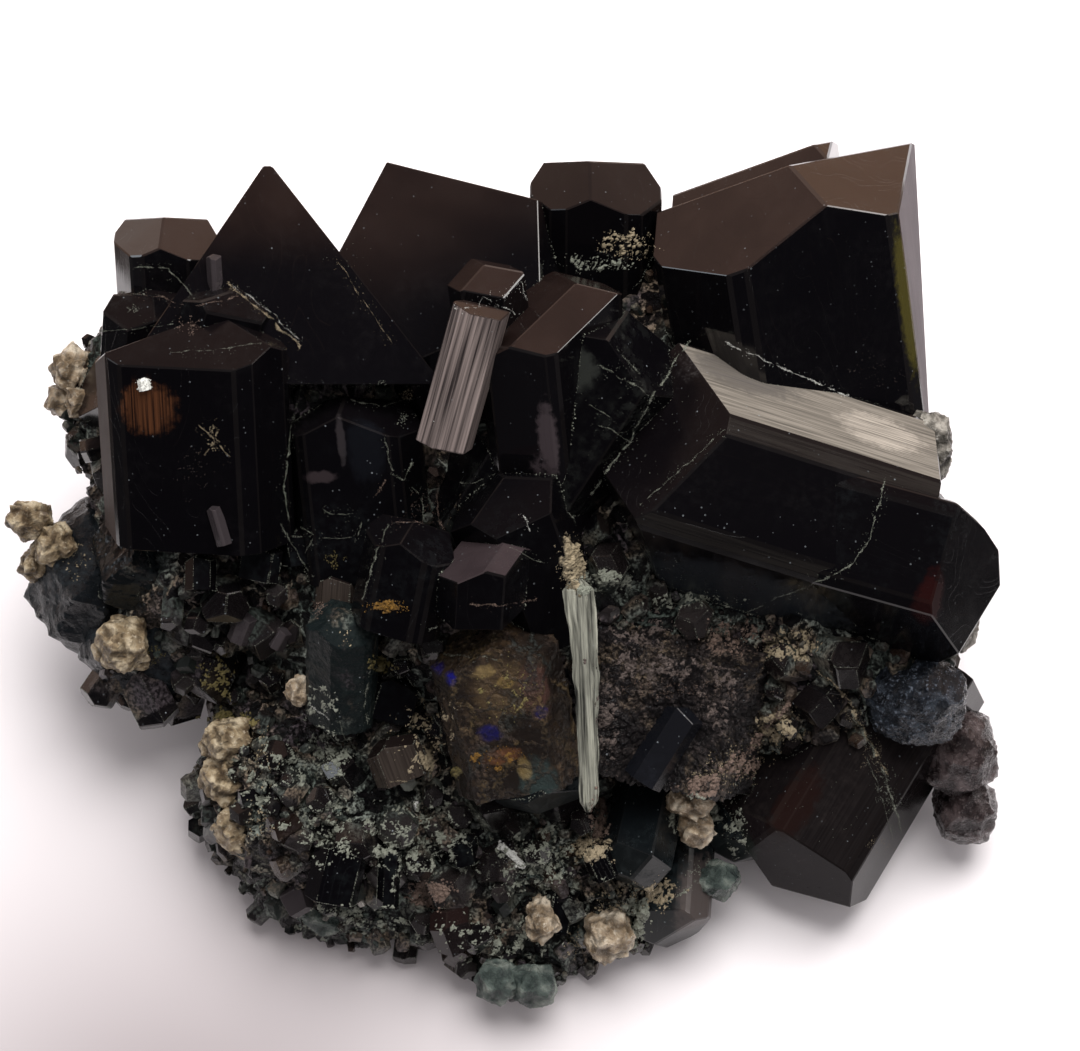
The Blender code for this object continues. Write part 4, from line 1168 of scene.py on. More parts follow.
growth_so_far = BVHTree.FromPolygons(built_points, built_faces)
shown = {finish: [] for finish in SHOWN_FINISHES}
for number, (at, (across, toward), length, lean, nod, spin, finish) in enumerate(SHOWN_CRYSTALS.values()):
    spot, _facing = surface_at(growth_so_far, *at)
    matrix = crystal_frame(spot, lean, nod)
    matrix.translation = spot + matrix.to_3x3() @ Vector((0.25 * toward, 0, length / 2))
    sides = (toward, 0.86 * across, 0.80 * across, toward, 0.86 * across, 0.82 * across)
    planes = crystal_planes(sides, tip_faces(30), length, spin) + [table_plane(matrix)]
    shown[finish].append((solid(planes, worn=0.05, seed=number), matrix, 1.0, 300.0 + number, 99.0))
    reaches.append((spot, max(across, toward)))
for finish, grown in shown.items():
    material = schorl(f"schorl, {finish}", **SHOWN_FINISHES[finish])
    growth_piece(f"small_crystals_{finish.replace(' ', '_')}", grown, material)
outlined = standing + 2 * shown["edged"] + shown["brown bars"]

# The finest growth: thousands of crystals under 2 mm that make the matrix look granular. Eight
# shapes are grown and then set at random sizes and angles. Most are black and glossy, and some are
# filmed with grey green, brown or nearly white.
FINE_TIERS = (
    dict(tried=2600, half_width=(0.45, 1.2), apart=1.5, clear=0.3),
    dict(tried=5000, half_width=(0.2, 0.55), apart=0.7, clear=0.1),
)
FINE_KINDS = {
    "glossy": dict(black="#070608", tone="#15110f", haze=0.2, haze_colour="#2b2829", vary=0.4, polish=0.05),
    "brown": dict(black="#17100d", tone="#2b1f17", haze=0.5, haze_colour="#43342a", vary=0.3, polish=0.1),
    "filmed": dict(black="#0c0f0e", tone="#191d1b", haze=0.7, haze_colour="#2f3835", vary=0.3, polish=0.18),
    "pale": dict(black="#3a3d39", tone="#6e7169", painted_tip_tone=1.0, haze=1.0, haze_colour="#83867d", polish=0.35),
}
FINE_SHAPES = 8
FINE_UP_TO = 30.0
FINE_WANDER = 0.9
GRAIN_HELD = 0.62
EDGE_KEPT = 2.2
FLOOR_KEPT = 1.2
shapes = []
for k in range(FINE_SHAPES):
    sides = [draw.uniform(0.7, 1.2) for _side in range(6)]
    shapes.append(solid(crystal_planes(sides, tip_faces(draw.choice((0, 30))), 2.6, draw.uniform(0, 60))))
low, high = cad_box
cells = {}
fine = {kind: [] for kind in FINE_KINDS}
for tier in FINE_TIERS:
    for spot, normal in scattered(draw, tier["tried"]):
        half_width = draw.uniform(*tier["half_width"])
        wander = Vector((draw.uniform(-1, 1), draw.uniform(-1, 1), draw.uniform(-1, 1)))
        long = 0.7 * draw.uniform(0.7, 1.5)
        shape = draw.choice(shapes)
        luck = draw.random()
        world_spot = SPECIMEN @ spot
        if world_spot.z < FLOOR_KEPT * half_width * MM or spot.y > FINE_UP_TO:
            continue
        if (spot - BARE_LOBE).xy.length < BARE_REACH:
            continue
        near = tuple(round(part / tier["apart"]) for part in spot)
        if near in cells or min(outside(spot, matrix, planes) for matrix, planes in large) < tier["clear"]:
            continue
        if any((spot - place).length < GRAIN_HELD * reach for place, reach in reaches):
            continue
        edge = min(*(world_spot - low).xy, *(high - world_spot).xy)
        if edge < EDGE_KEPT * half_width * MM:
            continue
        cells[near] = True
        film = noise.noise(spot / 4.5) + 0.5 * noise.noise(spot / 1.8)
        if film > 0.55 + 0.5 * luck:
            kind = "pale"
        elif film + 0.5 * luck > 0.55:
            kind = "filmed"
        elif noise.noise(spot / 6 + Vector((31, 0, 0))) + 0.4 * luck > 0.45:
            kind = "brown"
        else:
            kind = "glossy"
        z = (normal + FINE_WANDER * wander).normalized()
        matrix = upright(z, spot + z * half_width * long)
        fine[kind].append((shape, matrix, half_width, draw.uniform(0, 50), half_width * long))
for kind, grown in fine.items():
    material = schorl(f"fine schorl, {kind}", crust=0.5, specks=0.0, **FINE_KINDS[kind])
    growth_piece(f"{kind}_crystals", grown, material)

# Pale crust: chalky granules of greenish white mineral that settled where crystals meet. They follow
# the lines where the solids cut one another, broken here and there, and thicken into patches.
GRANULE_STEP = 0.15
CRUST_GATE = 0.02


def clipped(ring, tags, planes):
    """The part of a face inside the planes; a tag names the plane that made each edge."""
    for index, (normal, distance) in enumerate(planes):
        depths = [normal.dot(point) - distance for point in ring]
        if max(depths) <= 0:
            continue
        if min(depths) >= 0:
            return [], []
        kept, kept_tags = [], []
        for k, point in enumerate(ring):
            following = ring[(k + 1) % len(ring)]
            depth, next_depth = depths[k], depths[(k + 1) % len(ring)]
            if depth <= 0:
                kept.append(point)
                kept_tags.append(tags[k])
                if next_depth > 0:
                    kept.append(point.lerp(following, depth / (depth - next_depth)))
                    kept_tags.append(index)
            elif next_depth <= 0:
                kept.append(point.lerp(following, depth / (depth - next_depth)))
                kept_tags.append(tags[k])
        ring, tags = kept, kept_tags
    return ring, tags


bodies = []
for matrix, planes in large + [(matrix, planes) for _shape, matrix, planes in lumps]:
    turned = matrix.to_3x3()
    body_planes = []
    for normal, distance in planes:
        outward = turned @ normal
        body_planes.append((outward, distance + outward.dot(matrix.translation)))
    points, faces, _marks, _pits = solid(planes)
    corners = [matrix @ Vector(point) for point in points]
    middle = sum(corners, Vector()) / len(corners)
    reach = max((corner - middle).length for corner in corners)
    rings = []
    for face in faces:
        ring = [corners[k] for k in face]
        rings.append((ring, (ring[1] - ring[0]).cross(ring[2] - ring[1]).normalized()))
    bodies.append((body_planes, rings, middle, reach))

seams = []
for first, (_planes, rings_a, middle_a, reach_a) in enumerate(bodies[: len(large)]):
    for second, (planes_b, _rings, middle_b, reach_b) in enumerate(bodies):
        if second <= first or (middle_a - middle_b).length > reach_a + reach_b:
            continue
        boldness = draw.uniform(0.0, 1.0)
        for ring, facing in rings_a:
            part, tags = clipped(ring, [-1] * len(ring), planes_b)
            for k, tag in enumerate(tags):
                if tag < 0:
                    continue
                start, end = part[k], part[(k + 1) % len(part)]
                lift = (facing + planes_b[tag][0]).normalized()
                steps = int((end - start).length / GRANULE_STEP)
                for step in range(steps):
                    seams.append((start.lerp(end, (step + draw.random()) / steps), lift, boldness))
spots = np.array([spot for spot, _lift, _boldness in seams])
buried = np.zeros(len(spots), bool)
for body_planes, _rings, _middle, _reach in bodies:
    normals = np.array([normal for normal, _distance in body_planes])
    distances = np.array([distance for _normal, distance in body_planes])
    buried |= (spots @ normals.T - distances).max(axis=1) < -0.02


def pebble(seed, coarse):
    """A rough granule about 1 mm in radius, with 6 faces if it is coarse, else 20."""
    ball = bmesh.new()
    if coarse:
        bmesh.ops.create_uvsphere(ball, u_segments=3, v_segments=2, radius=1.0)
    else:
        bmesh.ops.create_icosphere(ball, subdivisions=1, radius=1.0)
    rough = random.Random(seed)
    points = np.array([vert.co * rough.uniform(0.7, 1.15) for vert in ball.verts])
    faces = [[vert.index for vert in face.verts] for face in ball.faces]
    ball.free()
    return points, faces, None, None


pebbles = [pebble(seed, False) for seed in range(5)]
specks = [pebble(seed, True) for seed in range(5)]
SPECK_SIZE = 0.12
CRUST_KINDS = {
    "chalk": ("#32362f", "#94978a"),
    "cream": ("#463d30", "#a89a80"),
    "yellow": ("#332e1c", "#7b7046"),
    "orange": ("#2c1d0a", "#7d5c26"),
    "lavender": ("#221d1d", "#665b56"),
    "pink": ("#352b28", "#806d62"),
    "white": ("#8f8f8b", "#e6e6e0"),
}
crusts = {kind: [] for kind in CRUST_KINDS}


def settle(kind, spot, lift, size):
    """One granule, set half into the surface."""
    tilt = Vector((draw.uniform(-1, 1), draw.uniform(-1, 1), draw.uniform(-1, 1)))
    matrix = upright((lift + 0.8 * tilt).normalized(), spot)
    shape = draw.choice(specks if size < SPECK_SIZE else pebbles)
    crusts[kind].append((shape, matrix, size, draw.uniform(0, 40), 9.0))


for (spot, lift, boldness), hidden in zip(seams, buried):
    if hidden or (SPECIMEN @ spot).z < 0.3 * MM:
        continue
    thick = noise.noise(spot / 3.2) + 0.6 * noise.noise(spot / 0.8) + 0.6 * boldness - 0.25
    if thick < CRUST_GATE:
        continue
    width = min(0.15, 0.03 + 0.12 * thick)
    for _granule in range(2):
        stray = Vector((draw.gauss(0, 1), draw.gauss(0, 1), draw.gauss(0, 1))) * 0.7 * width
        settle("chalk", spot + stray, lift, width * draw.uniform(0.25, 0.9))

# The crust also draws thin lines along some edges of the standing crystals
OUTLINED_SHARE = 0.4
for (points, faces, _marks, _pits), matrix, _scale, _seed, _rise in outlined:
    corners = [matrix @ Vector(point) for point in points]
    for face in faces:
        facing = (corners[face[1]] - corners[face[0]]).cross(corners[face[2]] - corners[face[1]]).normalized()
        for start, end in zip(face, face[1:] + face[:1]):
            chance = draw.random()
            if start > end or chance > OUTLINED_SHARE or facing.z < -0.2:
                continue
            start, end = corners[start], corners[end]
            steps = int((end - start).length / GRANULE_STEP)
            for step in range(steps):
                spot = start.lerp(end, (step + draw.random()) / steps)
                if noise.noise(spot / 0.9) < -0.2:
                    continue
                if any(outside(spot, lump, planes) < -0.1 for _shape, lump, planes in lumps):
                    continue
                settle("chalk", spot, facing, draw.uniform(0.02, 0.07))

# Veins and patches of crust that show on the face, placed where the photographed face has them.
# A vein is its pixels, its width in mm and its kind; a patch is its middle and half sizes in pixels,
# how many granules it has, their radii in mm and its kind.
VEINS = (
    (((690, 340), (650, 400), (635, 433), (590, 495)), 0.13, "chalk"),
    (((725, 430), (680, 470), (640, 505)), 0.06, "chalk"),
    (((600, 365), (625, 380), (650, 395)), 0.08, "chalk"),
    (((618, 350), (640, 375)), 0.07, "chalk"),
    (((590, 405), (610, 420)), 0.06, "chalk"),
    (((600, 425), (630, 440)), 0.07, "chalk"),
    (((726, 343), (790, 372), (850, 397)), 0.09, "white"),
    (((885, 478), (870, 540), (850, 567), (810, 585), (745, 612)), 0.09, "chalk"),
    (((300, 387), (291, 430), (284, 496), (288, 520)), 0.09, "chalk"),
    (((300, 387), (340, 398), (380, 406), (420, 398)), 0.07, "chalk"),
    (((281, 525), (297, 552), (313, 578)), 0.07, "chalk"),
    (((170, 352), (215, 350), (260, 343)), 0.06, "chalk"),
    (((228, 284), (249, 300), (301, 347)), 0.13, "cream"),
    (((232, 284), (254, 298), (303, 343)), 0.06, "white"),
    (((137, 267), (169, 268), (196, 300)), 0.08, "chalk"),
    (((122, 291), (160, 298), (185, 304)), 0.06, "pink"),
    (((100, 331), (149, 327), (174, 323)), 0.06, "chalk"),
    (((197, 306), (238, 297)), 0.09, "pink"),
    (((385, 437), (387, 450), (391, 470)), 0.08, "chalk"),
    (((392, 474), (404, 480), (412, 462)), 0.10, "chalk"),
    (((376, 495), (387, 480)), 0.09, "pink"),
    (((322, 508), (332, 514), (345, 516), (357, 512)), 0.05, "chalk"),
    (((301, 527), (314, 535), (305, 554)), 0.06, "chalk"),
    (((316, 537), (358, 539), (362, 522)), 0.06, "chalk"),
    (((391, 522), (439, 522), (445, 531)), 0.08, "pink"),
    (((412, 487), (422, 496), (424, 521)), 0.07, "chalk"),
    (((437, 483), (439, 521)), 0.09, "pink"),
    (((460, 481), (471, 483), (496, 474)), 0.08, "chalk"),
    (((460, 495), (454, 506), (448, 525)), 0.05, "cream"),
    (((437, 458), (446, 465)), 0.07, "white"),
    (((523, 516), (531, 531)), 0.07, "white"),
    (((511, 548), (529, 558), (544, 564)), 0.05, "chalk"),
    (((470, 604), (500, 606), (536, 600)), 0.11, "pink"),
    (((429, 631), (445, 620)), 0.07, "chalk"),
    (((335, 258), (370, 310), (392, 345)), 0.06, "cream"),
    (((388, 523), (375, 560), (362, 600)), 0.09, "chalk"),
    (((455, 308), (480, 308), (485, 297), (515, 313)), 0.06, "white"),
    (((500, 305), (520, 282), (528, 300)), 0.05, "white"),
    (((199, 425), (215, 440), (230, 457)), 0.12, "cream"),
    (((215, 440), (205, 455)), 0.08, "cream"),
    (((369, 671), (365, 706), (367, 725)), 0.09, "chalk"),
    (((405, 673), (440, 727), (445, 767)), 0.09, "chalk"),
    (((395, 661), (440, 654), (497, 659)), 0.08, "chalk"),
    (((341, 723), (343, 734), (369, 770)), 0.08, "chalk"),
    (((390, 782), (426, 779)), 0.10, "cream"),
    (((468, 803), (480, 820), (492, 840)), 0.20, "chalk"),
    (((308, 704), (331, 720)), 0.07, "white"),
    # White crust in part, and in part a painted highlight on a bright white spot
    (((501, 845), (525, 868)), 0.26, "white"),
    (((848, 702), (872, 745), (888, 775)), 0.13, "cream"),
    (((852, 712), (884, 772), (902, 832)), 0.11, "chalk"),
    (((862, 742), (880, 792), (893, 842)), 0.06, "chalk"),
    (((800, 655), (830, 682), (850, 702)), 0.14, "cream"),
    (((660, 905), (690, 890), (720, 868)), 0.12, "chalk"),
    (((640, 690), (690, 665), (740, 670)), 0.16, "lavender"),
    (((690, 790), (740, 760), (790, 700)), 0.30, "pink"),
)
PATCHES = (
    ((571, 566), (15, 26), 300, (0.03, 0.08), "cream"),
    ((600, 582), (36, 14), 240, (0.03, 0.11), "chalk"),
    ((690, 600), (50, 10), 160, (0.03, 0.08), "chalk"),
    ((735, 640), (40, 24), 360, (0.03, 0.12), "pink"),
    ((790, 640), (30, 16), 160, (0.03, 0.10), "cream"),
    ((738, 765), (34, 26), 420, (0.03, 0.10), "cream"),
    ((692, 815), (24, 22), 420, (0.03, 0.11), "chalk"),
    ((650, 640), (36, 34), 300, (0.03, 0.10), "lavender"),
    ((715, 700), (22, 28), 180, (0.03, 0.10), "lavender"),
    ((608, 720), (12, 50), 200, (0.03, 0.12), "lavender"),
    ((598, 820), (10, 24), 160, (0.04, 0.14), "pink"),
    ((226, 722), (30, 11), 220, (0.05, 0.15), "yellow"),
    ((388, 607), (22, 7), 160, (0.04, 0.12), "orange"),
    ((382, 665), (13, 9), 150, (0.05, 0.15), "yellow"),
    ((456, 772), (7, 6), 50, (0.05, 0.12), "yellow"),
    ((428, 762), (9, 11), 110, (0.05, 0.13), "cream"),
    ((330, 752), (22, 28), 320, (0.04, 0.13), "chalk"),
    ((540, 870), (44, 26), 320, (0.04, 0.13), "chalk"),
    ((590, 850), (22, 14), 160, (0.05, 0.14), "cream"),
    ((430, 892), (24, 15), 260, (0.05, 0.15), "pink"),
    ((636, 920), (15, 34), 320, (0.05, 0.15), "chalk"),
    ((655, 895), (22, 16), 200, (0.05, 0.15), "cream"),
    ((735, 830), (12, 36), 120, (0.03, 0.09), "chalk"),
    ((628, 246), (28, 15), 260, (0.03, 0.12), "cream"),
    ((600, 262), (44, 10), 160, (0.03, 0.09), "chalk"),
    ((880, 372), (44, 16), 90, (0.02, 0.05), "lavender"),
    ((640, 400), (60, 62), 150, (0.02, 0.05), "chalk"),
    ((640, 575), (70, 26), 150, (0.02, 0.05), "chalk"),
    ((820, 800), (60, 60), 60, (0.02, 0.05), "chalk"),
    ((857, 722), (11, 20), 170, (0.02, 0.06), "cream"),
    ((872, 752), (11, 22), 190, (0.02, 0.06), "cream"),
    ((887, 788), (12, 24), 190, (0.02, 0.06), "chalk"),
    ((898, 822), (11, 20), 150, (0.02, 0.06), "chalk"),
    ((880, 845), (14, 10), 90, (0.02, 0.06), "cream"),
    ((620, 902), (22, 20), 320, (0.04, 0.13), "cream"),
    ((700, 872), (16, 14), 160, (0.03, 0.10), "chalk"),
    ((700, 690), (60, 8), 260, (0.03, 0.09), "pink"),
    ((650, 690), (40, 14), 260, (0.03, 0.09), "pink"),
    ((725, 772), (34, 11), 300, (0.03, 0.10), "cream"),
    ((762, 742), (20, 16), 220, (0.03, 0.09), "cream"),
    ((144, 384), (7, 7), 90, (0.06, 0.12), "white"),
    ((75, 562), (14, 22), 130, (0.04, 0.12), "cream"),
    ((150, 655), (16, 14), 130, (0.04, 0.12), "yellow"),
    ((262, 760), (14, 30), 170, (0.04, 0.13), "cream"),
    ((258, 822), (12, 20), 120, (0.04, 0.13), "cream"),
    ((575, 945), (12, 14), 110, (0.04, 0.12), "cream"),
    ((188, 326), (12, 9), 150, (0.03, 0.09), "pink"),
    ((133, 309), (7, 4), 60, (0.02, 0.06), "chalk"),
    ((379, 388), (10, 7), 120, (0.03, 0.08), "chalk"),
    ((408, 395), (9, 6), 90, (0.03, 0.08), "cream"),
    ((405, 418), (9, 9), 120, (0.03, 0.08), "chalk"),
    ((431, 422), (3, 4), 30, (0.03, 0.07), "white"),
    ((424, 505), (14, 18), 120, (0.03, 0.07), "pink"),
    ((319, 609), (9, 9), 120, (0.04, 0.11), "pink"),
    ((335, 560), (11, 9), 110, (0.03, 0.08), "yellow"),
    ((214, 436), (6, 15), 110, (0.03, 0.08), "cream"),
    ((195, 470), (28, 24), 100, (0.02, 0.06), "lavender"),
    ((520, 690), (30, 30), 100, (0.03, 0.09), "yellow"),
    ((500, 758), (28, 14), 120, (0.03, 0.10), "orange"),
    ((350, 250), (20, 30), 40, (0.02, 0.05), "chalk"),
)
everything = BVHTree.FromPolygons(built_points, built_faces)
STEPS_A_PIXEL = 1.6
VEIN_WAVES = 3.0
STRAY_SHARE = 0.35
STRAY_REACH = 4.0
PARTED_BELOW = 0.3
for line, width, kind in VEINS:
    for (u0, v0), (u1, v1) in zip(line, line[1:]):
        steps = int(math.hypot(u1 - u0, v1 - v0) * STEPS_A_PIXEL)
        for step in range(steps):
            part = step / steps
            u, v = u0 + (u1 - u0) * part, v0 + (v1 - v0) * part
            wave = Vector((u / 14, v / 14, 3.0))
            u += VEIN_WAVES * noise.noise(wave)
            v += VEIN_WAVES * noise.noise(wave + Vector((0, 0, 9)))
            thick = 0.65 + 1.1 * noise.noise(Vector((u / 6, v / 6, 7.0)))
            if draw.random() < STRAY_SHARE:
                aside, down = draw.gauss(0, STRAY_REACH), draw.gauss(0, STRAY_REACH)
                spot, facing = surface_at(everything, u + aside, v + down)
                if spot:
                    settle(kind, spot, facing, draw.uniform(0.02, 0.05))
            if thick < PARTED_BELOW:
                continue
            stray = 0.55 * width * thick / PIXEL
            for _granule in range(3):
                spot, facing = surface_at(everything, u + draw.gauss(0, stray), v + draw.gauss(0, stray))
                if spot:
                    settle(kind, spot, facing, width * thick * draw.uniform(0.25, 0.8))
for (u, v), (half_wide, half_high), count, sizes, kind in PATCHES:
    for _granule in range(count):
        turn, away = draw.uniform(0, 2 * math.pi), math.sqrt(draw.random())
        ragged = 1 + 0.9 * noise.noise(Vector((2 * math.cos(turn), 2 * math.sin(turn), u)))
        across = u + half_wide * away * ragged * math.cos(turn)
        down = v + half_high * away * ragged * math.sin(turn)
        if noise.noise(Vector((across / 7, down / 7, 1.0))) < -0.12:
            continue
        spot, facing = surface_at(everything, across, down)
        if spot:
            settle(kind, spot, facing, draw.uniform(*sizes))

# Thin skins of the same crust drape over the crystals. Each is its middle and half sizes in pixels,
# its thickness in mm, how lacy it is (0 is whole, 1 is mostly holes), and its kind.
SKINS = (
    ((571, 566), (15, 28), 0.35, 0.2, "cream"),
    ((600, 582), (40, 14), 0.22, 0.5, "chalk"),
    ((690, 602), (60, 10), 0.16, 0.6, "chalk"),
    ((735, 640), (42, 20), 0.26, 0.8, "pink"),
    ((702, 788), (26, 13), 0.26, 0.4, "pink"),
    ((742, 764), (30, 15), 0.28, 0.4, "pink"),
    ((780, 726), (24, 20), 0.26, 0.5, "cream"),
    ((318, 700), (26, 24), 0.14, 0.9, "chalk"),
    ((345, 640), (22, 14), 0.06, 1.0, "cream"),
    ((790, 645), (34, 20), 0.22, 0.6, "cream"),
    ((692, 815), (26, 22), 0.38, 0.2, "chalk"),
    ((655, 668), (60, 14), 0.22, 0.6, "lavender"),
    ((640, 630), (40, 26), 0.16, 1.0, "lavender"),
    ((722, 700), (24, 32), 0.20, 0.8, "lavender"),
    ((608, 720), (13, 55), 0.24, 0.6, "lavender"),
    ((598, 820), (11, 26), 0.28, 0.4, "pink"),
    ((226, 722), (32, 11), 0.28, 0.3, "yellow"),
    ((388, 607), (22, 7), 0.22, 0.4, "orange"),
    ((382, 665), (13, 9), 0.28, 0.1, "yellow"),
    ((456, 772), (7, 6), 0.24, 0.0, "yellow"),
    ((428, 762), (9, 11), 0.24, 0.2, "cream"),
    ((330, 752), (24, 30), 0.26, 0.7, "chalk"),
    ((420, 840), (62, 42), 0.24, 0.9, "chalk"),
    ((330, 830), (50, 40), 0.20, 1.0, "chalk"),
    ((540, 860), (54, 36), 0.24, 0.8, "chalk"),
    ((590, 850), (24, 16), 0.30, 0.4, "cream"),
    ((430, 892), (26, 15), 0.28, 0.3, "pink"),
    ((500, 940), (70, 26), 0.20, 0.9, "chalk"),
    ((636, 920), (15, 36), 0.32, 0.3, "chalk"),
    ((655, 893), (24, 14), 0.26, 0.5, "cream"),
    ((735, 830), (13, 40), 0.14, 0.7, "chalk"),
    ((628, 246), (30, 15), 0.20, 0.7, "cream"),
    ((600, 262), (48, 10), 0.18, 0.7, "chalk"),
    ((500, 690), (34, 30), 0.10, 1.2, "yellow"),
    ((500, 758), (28, 12), 0.12, 0.9, "orange"),
    ((260, 780), (60, 50), 0.18, 1.0, "chalk"),
    ((350, 920), (60, 20), 0.20, 0.7, "chalk"),
    ((215, 680), (20, 30), 0.16, 0.9, "yellow"),
    ((420, 730), (40, 40), 0.16, 1.0, "cream"),
)
SKIN_STEP = 1.2
LACE_SIZE = 1.1
SUNK = 0.05
skins = {kind: ([], [], []) for kind in CRUST_KINDS}
for (u, v), (half_wide, half_high), thickness, lacy, kind in SKINS:
    points, faces, levels = skins[kind]
    wide, high_steps = int(1.3 * half_wide / SKIN_STEP), int(1.3 * half_high / SKIN_STEP)
    nodes = {}
    for row in range(-high_steps, high_steps + 1):
        for column in range(-wide, wide + 1):
            across, down = u + column * SKIN_STEP, v + row * SKIN_STEP
            away = math.hypot((across - u) / half_wide, (down - v) / half_high)
            spot, facing = surface_at(everything, across, down)
            if spot is None:
                continue
            ragged = away + 0.55 * noise.noise(spot / 1.6) + 0.3 * noise.noise(spot / 0.6)
            lace = 1.0 + 1.3 * noise.fractal(spot / LACE_SIZE, 0.25, 2.1, 5)
            cover = min(1.0, 2.2 * (1.05 - ragged)) - lacy * lace
            grit = 0.45 + 0.9 * noise.noise(spot / 0.3) + 0.7 * draw.random()
            height = max(-1.0, cover) * grit * thickness if cover > 0 else 0.3 * max(-1.0, cover) * thickness
            nodes[row, column] = len(points)
            points.append(SPECIMEN @ (spot + facing * (height - SUNK)))
            levels.append(height / thickness)
    for (row, column), first in list(nodes.items()):
        ring = [first]
        for further in ((row, column + 1), (row + 1, column + 1), (row + 1, column)):
            ring.append(nodes.get(further))
        if None in ring or max(levels[k] for k in ring) * thickness < SUNK:
            continue
        if max((points[ring[0]] - points[k]).length for k in ring) < 0.6 * MM:
            faces.append(ring[::-1])

# The crust is matt and chalky: each granule is toned by chance, and a skin is darker where it is thin
THIN_SKIN = "#131211"
for kind, (dark, light) in CRUST_KINDS.items():
    chalk, tree, shader = fresh_material(f"crust, {kind}")
    start = add(tree, "Attribute", attribute_name="start").outputs["Vector"]
    grown = add(tree, "Attribute", attribute_name="grown").outputs["Vector"]
    level = add(tree, "Attribute", attribute_name="level").outputs["Fac"]
    shade = add(tree, "TexWhiteNoise", {"Vector": start}, noise_dimensions="3D")
    speckle = add(tree, "TexNoise", {"Vector": grown, "Scale": 4.5, "Detail": 3.0, "Roughness": 0.7})
    speckle = add(tree, "MapRange", {0: speckle, 1: 0.40, 2: 0.68})
    drift = add(tree, "TexNoise", {"Vector": grown, "Scale": 0.8, "Detail": 2.0})
    drift = add(tree, "MapRange", {0: drift, 1: 0.36, 2: 0.60, 3: 0.35, 4: 1.1})
    speckle = add(tree, "Math", {0: speckle, 1: drift}, operation="MULTIPLY")
    tone = add(tree, "Math", {0: speckle, 1: shade}, operation="MAXIMUM")
    tint = add(tree, "Mix", {0: tone, 6: linear(dark), 7: linear(light)}, data_type="RGBA")
    thin = add(tree, "MapRange", {0: level, 1: 0.40, 2: 0.10})
    tint = add(tree, "Mix", {0: thin, 6: tint, 7: linear(THIN_SKIN)}, data_type="RGBA")
    tree.links.new(tint.outputs[2], shader.inputs["Base Color"])
    shader.inputs["Roughness"].default_value = 0.5
    shader.inputs["IOR"].default_value = 1.5
    growth_piece(f"crust_{kind}", crusts[kind], chalk)
    points, faces, levels = skins[kind]
    if faces:
        face_points = np.array([FACE_FROM_WORLD @ point for point in points])
        shape = (face_points, faces, None, np.array(levels))
        growth_piece(f"skin_{kind}", [(shape, Matrix.Identity(4), 1.0, 0, 0.0)], chalk)

# Feldspar: cream to yellowish grains set in the matrix, stained with iron and crumbly where they
# broke, with dark dirt in their hollows and small pale flecks painted in for glints and a translucent
# look. The chips that broke last are paler and shine more.
HUES_AT = (0.36, 0.5, 0.64)
PALE_GRAINS = (
    "feldspar_chip", "feldspar_front", "feldspar_front_right", "feldspar_upper_left", "feldspar_crust",
)


def mottled(name, hues, cloud_size, dirt, dirt_colour, roughness, ior, transmission=0.0, painted_glint=None):
    """A stone whose colour drifts between hues over cloud_size, dirtier in its pits, and with small
    bright flecks painted in as glints where it has a painted glint colour."""
    material, tree, shader = fresh_material(name)
    grown = add(tree, "Attribute", attribute_name="grown").outputs["Vector"]
    pits = add(tree, "Attribute", attribute_name="level").outputs["Fac"]
    drift = add(tree, "TexNoise", {"Vector": grown, "Scale": 1 / cloud_size, "Detail": 4.0})
    fine_grain = add(tree, "TexNoise", {"Vector": grown, "Scale": 2.6, "Detail": 5.0, "Roughness": 0.62})
    stops = [(position, linear(hue)) for position, hue in zip(HUES_AT, hues)]
    colour = add(tree, "ValToRGB", {0: drift}, stops=stops)
    if painted_glint:
        flaws = add(tree, "TexNoise", {"Vector": grown, "Scale": 2.6, "Detail": 6.0, "Roughness": 0.75})
        painted_glints = add(tree, "MapRange", {0: flaws, 1: 0.54, 2: 0.68, 4: 0.75})
        colour = add(tree, "Mix", {0: painted_glints, 6: colour, 7: linear(painted_glint)}, data_type="RGBA")
    deep = add(tree, "Math", {0: fine_grain, 1: pits}, operation="ADD")
    deep = add(tree, "MapRange", {0: deep, 1: 0.95, 2: 1.3, 4: dirt})
    colour = add(tree, "Mix", {0: deep, 6: colour, 7: linear(dirt_colour)}, data_type="RGBA")
    tree.links.new(colour.outputs[2], shader.inputs["Base Color"])
    shader.inputs["Roughness"].default_value = roughness
    shader.inputs["IOR"].default_value = ior
    shader.inputs["Transmission Weight"].default_value = transmission
    bump = add(tree, "Bump", {"Height": fine_grain, "Distance": 0.3 * MM})
    tree.links.new(bump.outputs[0], shader.inputs["Normal"])
    return material


def set_grains(stones, facets, relief, hollow, crumb=0.0, finer=5):
    """Each grain is the rough lumps that its node is made of, sunk in the matrix, of its stone."""
    for name, stone in stones.items():
        shells = []
        for k, (centre, radii) in enumerate(GRAINS[name]):
            seed = sum(ord(letter) for letter in name) + 7 * k
            shell = rough_ball(lump_planes(radii, facets, seed), finer, relief, hollow, seed % 13, crumb)
            shells.append((shell, Matrix.Translation(Vector(centre)), 1.0, float(seed % 17), 0.0))
        grain = growth_piece(f"{name}_grain", shells, stone)
        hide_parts(name)


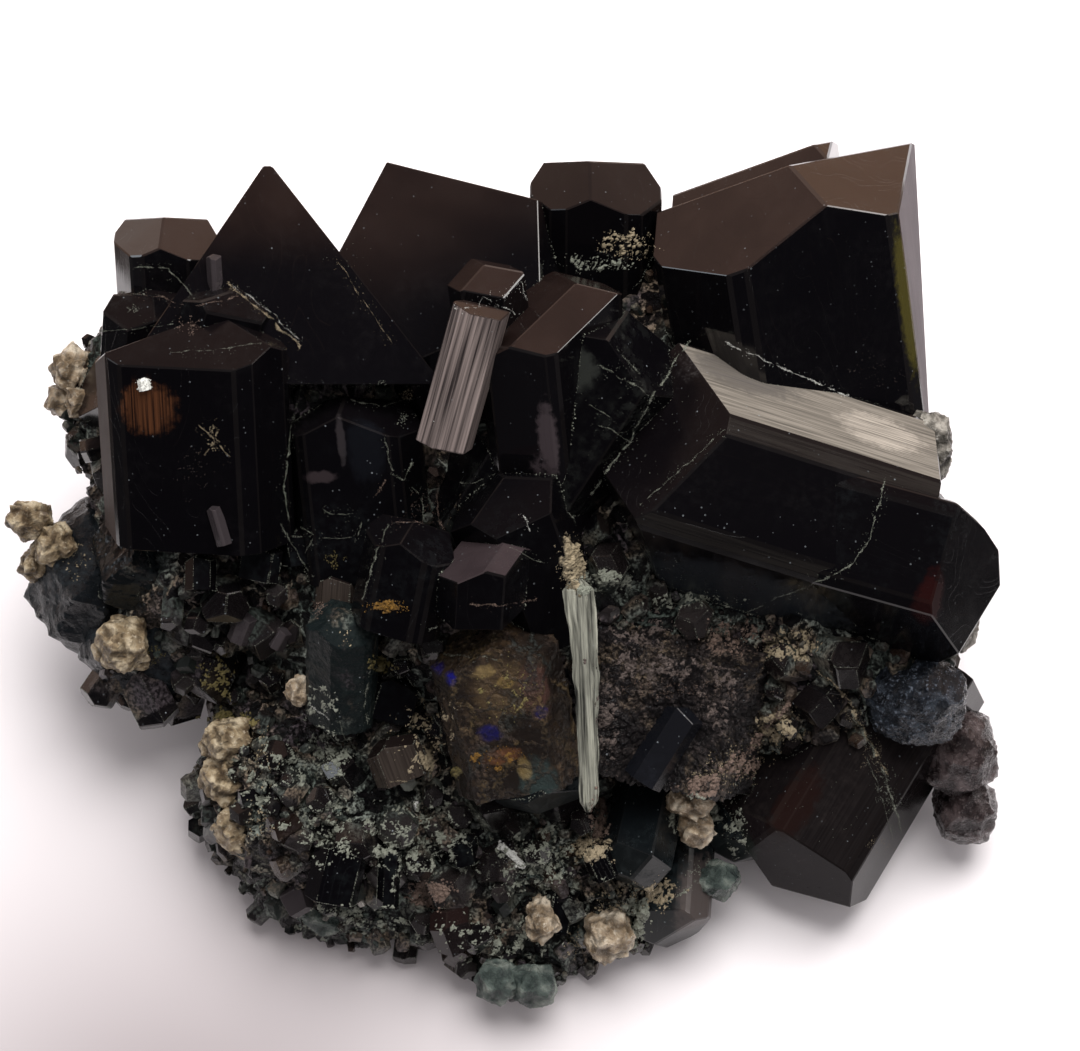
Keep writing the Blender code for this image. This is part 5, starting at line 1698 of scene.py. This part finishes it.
stained = mottled(
    "feldspar, iron stained", ("#594a38", "#8d7c62", "#bbac92"), cloud_size=1.3, dirt=0.75,
    dirt_colour="#2e2216", roughness=0.45, ior=1.53, painted_glint="#d8ccb5",
)
broken = mottled(
    "feldspar, broken faces", ("#75644f", "#a3927c", "#c9bca8"), cloud_size=1.5, dirt=0.65,
    dirt_colour="#332920", roughness=0.3, ior=1.53, painted_glint="#e0d7c6",
)
feldspars = [name for name in GRAINS if name.startswith("feldspar")]
set_grains(
    {name: broken if name in PALE_GRAINS else stained for name in feldspars},
    facets=18, relief=0.55, hollow=1.6, crumb=2.3,
)

# Smoky quartz: glassy lumps grown among the black crystals, bluish and flawed in the upper one,
# brown and clearer in the pair below it, and pale and rough where a piece broke off. Bright flecks
# painted in as glints sparkle on each.
blue_quartz = mottled(
    "smoky quartz, flawed, with painted glints", ("#0e1014", "#1c2026", "#343a42"), cloud_size=1.6, dirt=0.7,
    dirt_colour="#090a0d", roughness=0.06, ior=1.544, transmission=0.1, painted_glint="#7f8794",
)
brown_quartz = mottled(
    "smoky quartz, brown", ("#171112", "#342b2b", "#574c4c"), cloud_size=2.2, dirt=0.5,
    dirt_colour="#120e0e", roughness=0.05, ior=1.544, transmission=0.12, painted_glint="#7b7070",
)
rough_quartz = mottled(
    "smoky quartz, pale break", ("#4a4742", "#7d7870", "#b5afa5"), cloud_size=1.6, dirt=0.8,
    dirt_colour="#26241f", roughness=0.3, ior=1.544, transmission=0.2, painted_glint="#d8d4cc",
)
set_grains({"smoky_quartz_upper": blue_quartz}, facets=26, relief=0.42, hollow=1.7, finer=6)
set_grains({"smoky_quartz_lower": brown_quartz}, facets=26, relief=0.42, hollow=1.7)
set_grains(
    {"quartz_chip": rough_quartz, "quartz_splinter": rough_quartz},
    facets=26, relief=0.4, hollow=1.1,
)

# Hyalite: a clear to milky opal that settled last, in rounded, glassy, greenish white crusts along
# the foot of the specimen.
hyalite = mottled(
    "hyalite opal crust", ("#3a4340", "#58625d", "#868d85"), cloud_size=1.5, dirt=0.45,
    dirt_colour="#20262a", roughness=0.12, ior=1.46, transmission=0.25,
)
opals = [name for name in GRAINS if name.startswith("hyalite")]
set_grains(dict.fromkeys(opals, hyalite), facets=18, relief=0.4, hollow=1.9)

visual_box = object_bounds()
boxes = {"cad": cad_box, "visual": visual_box}
{name: [list(corner) for corner in box] for name, box in boxes.items()}
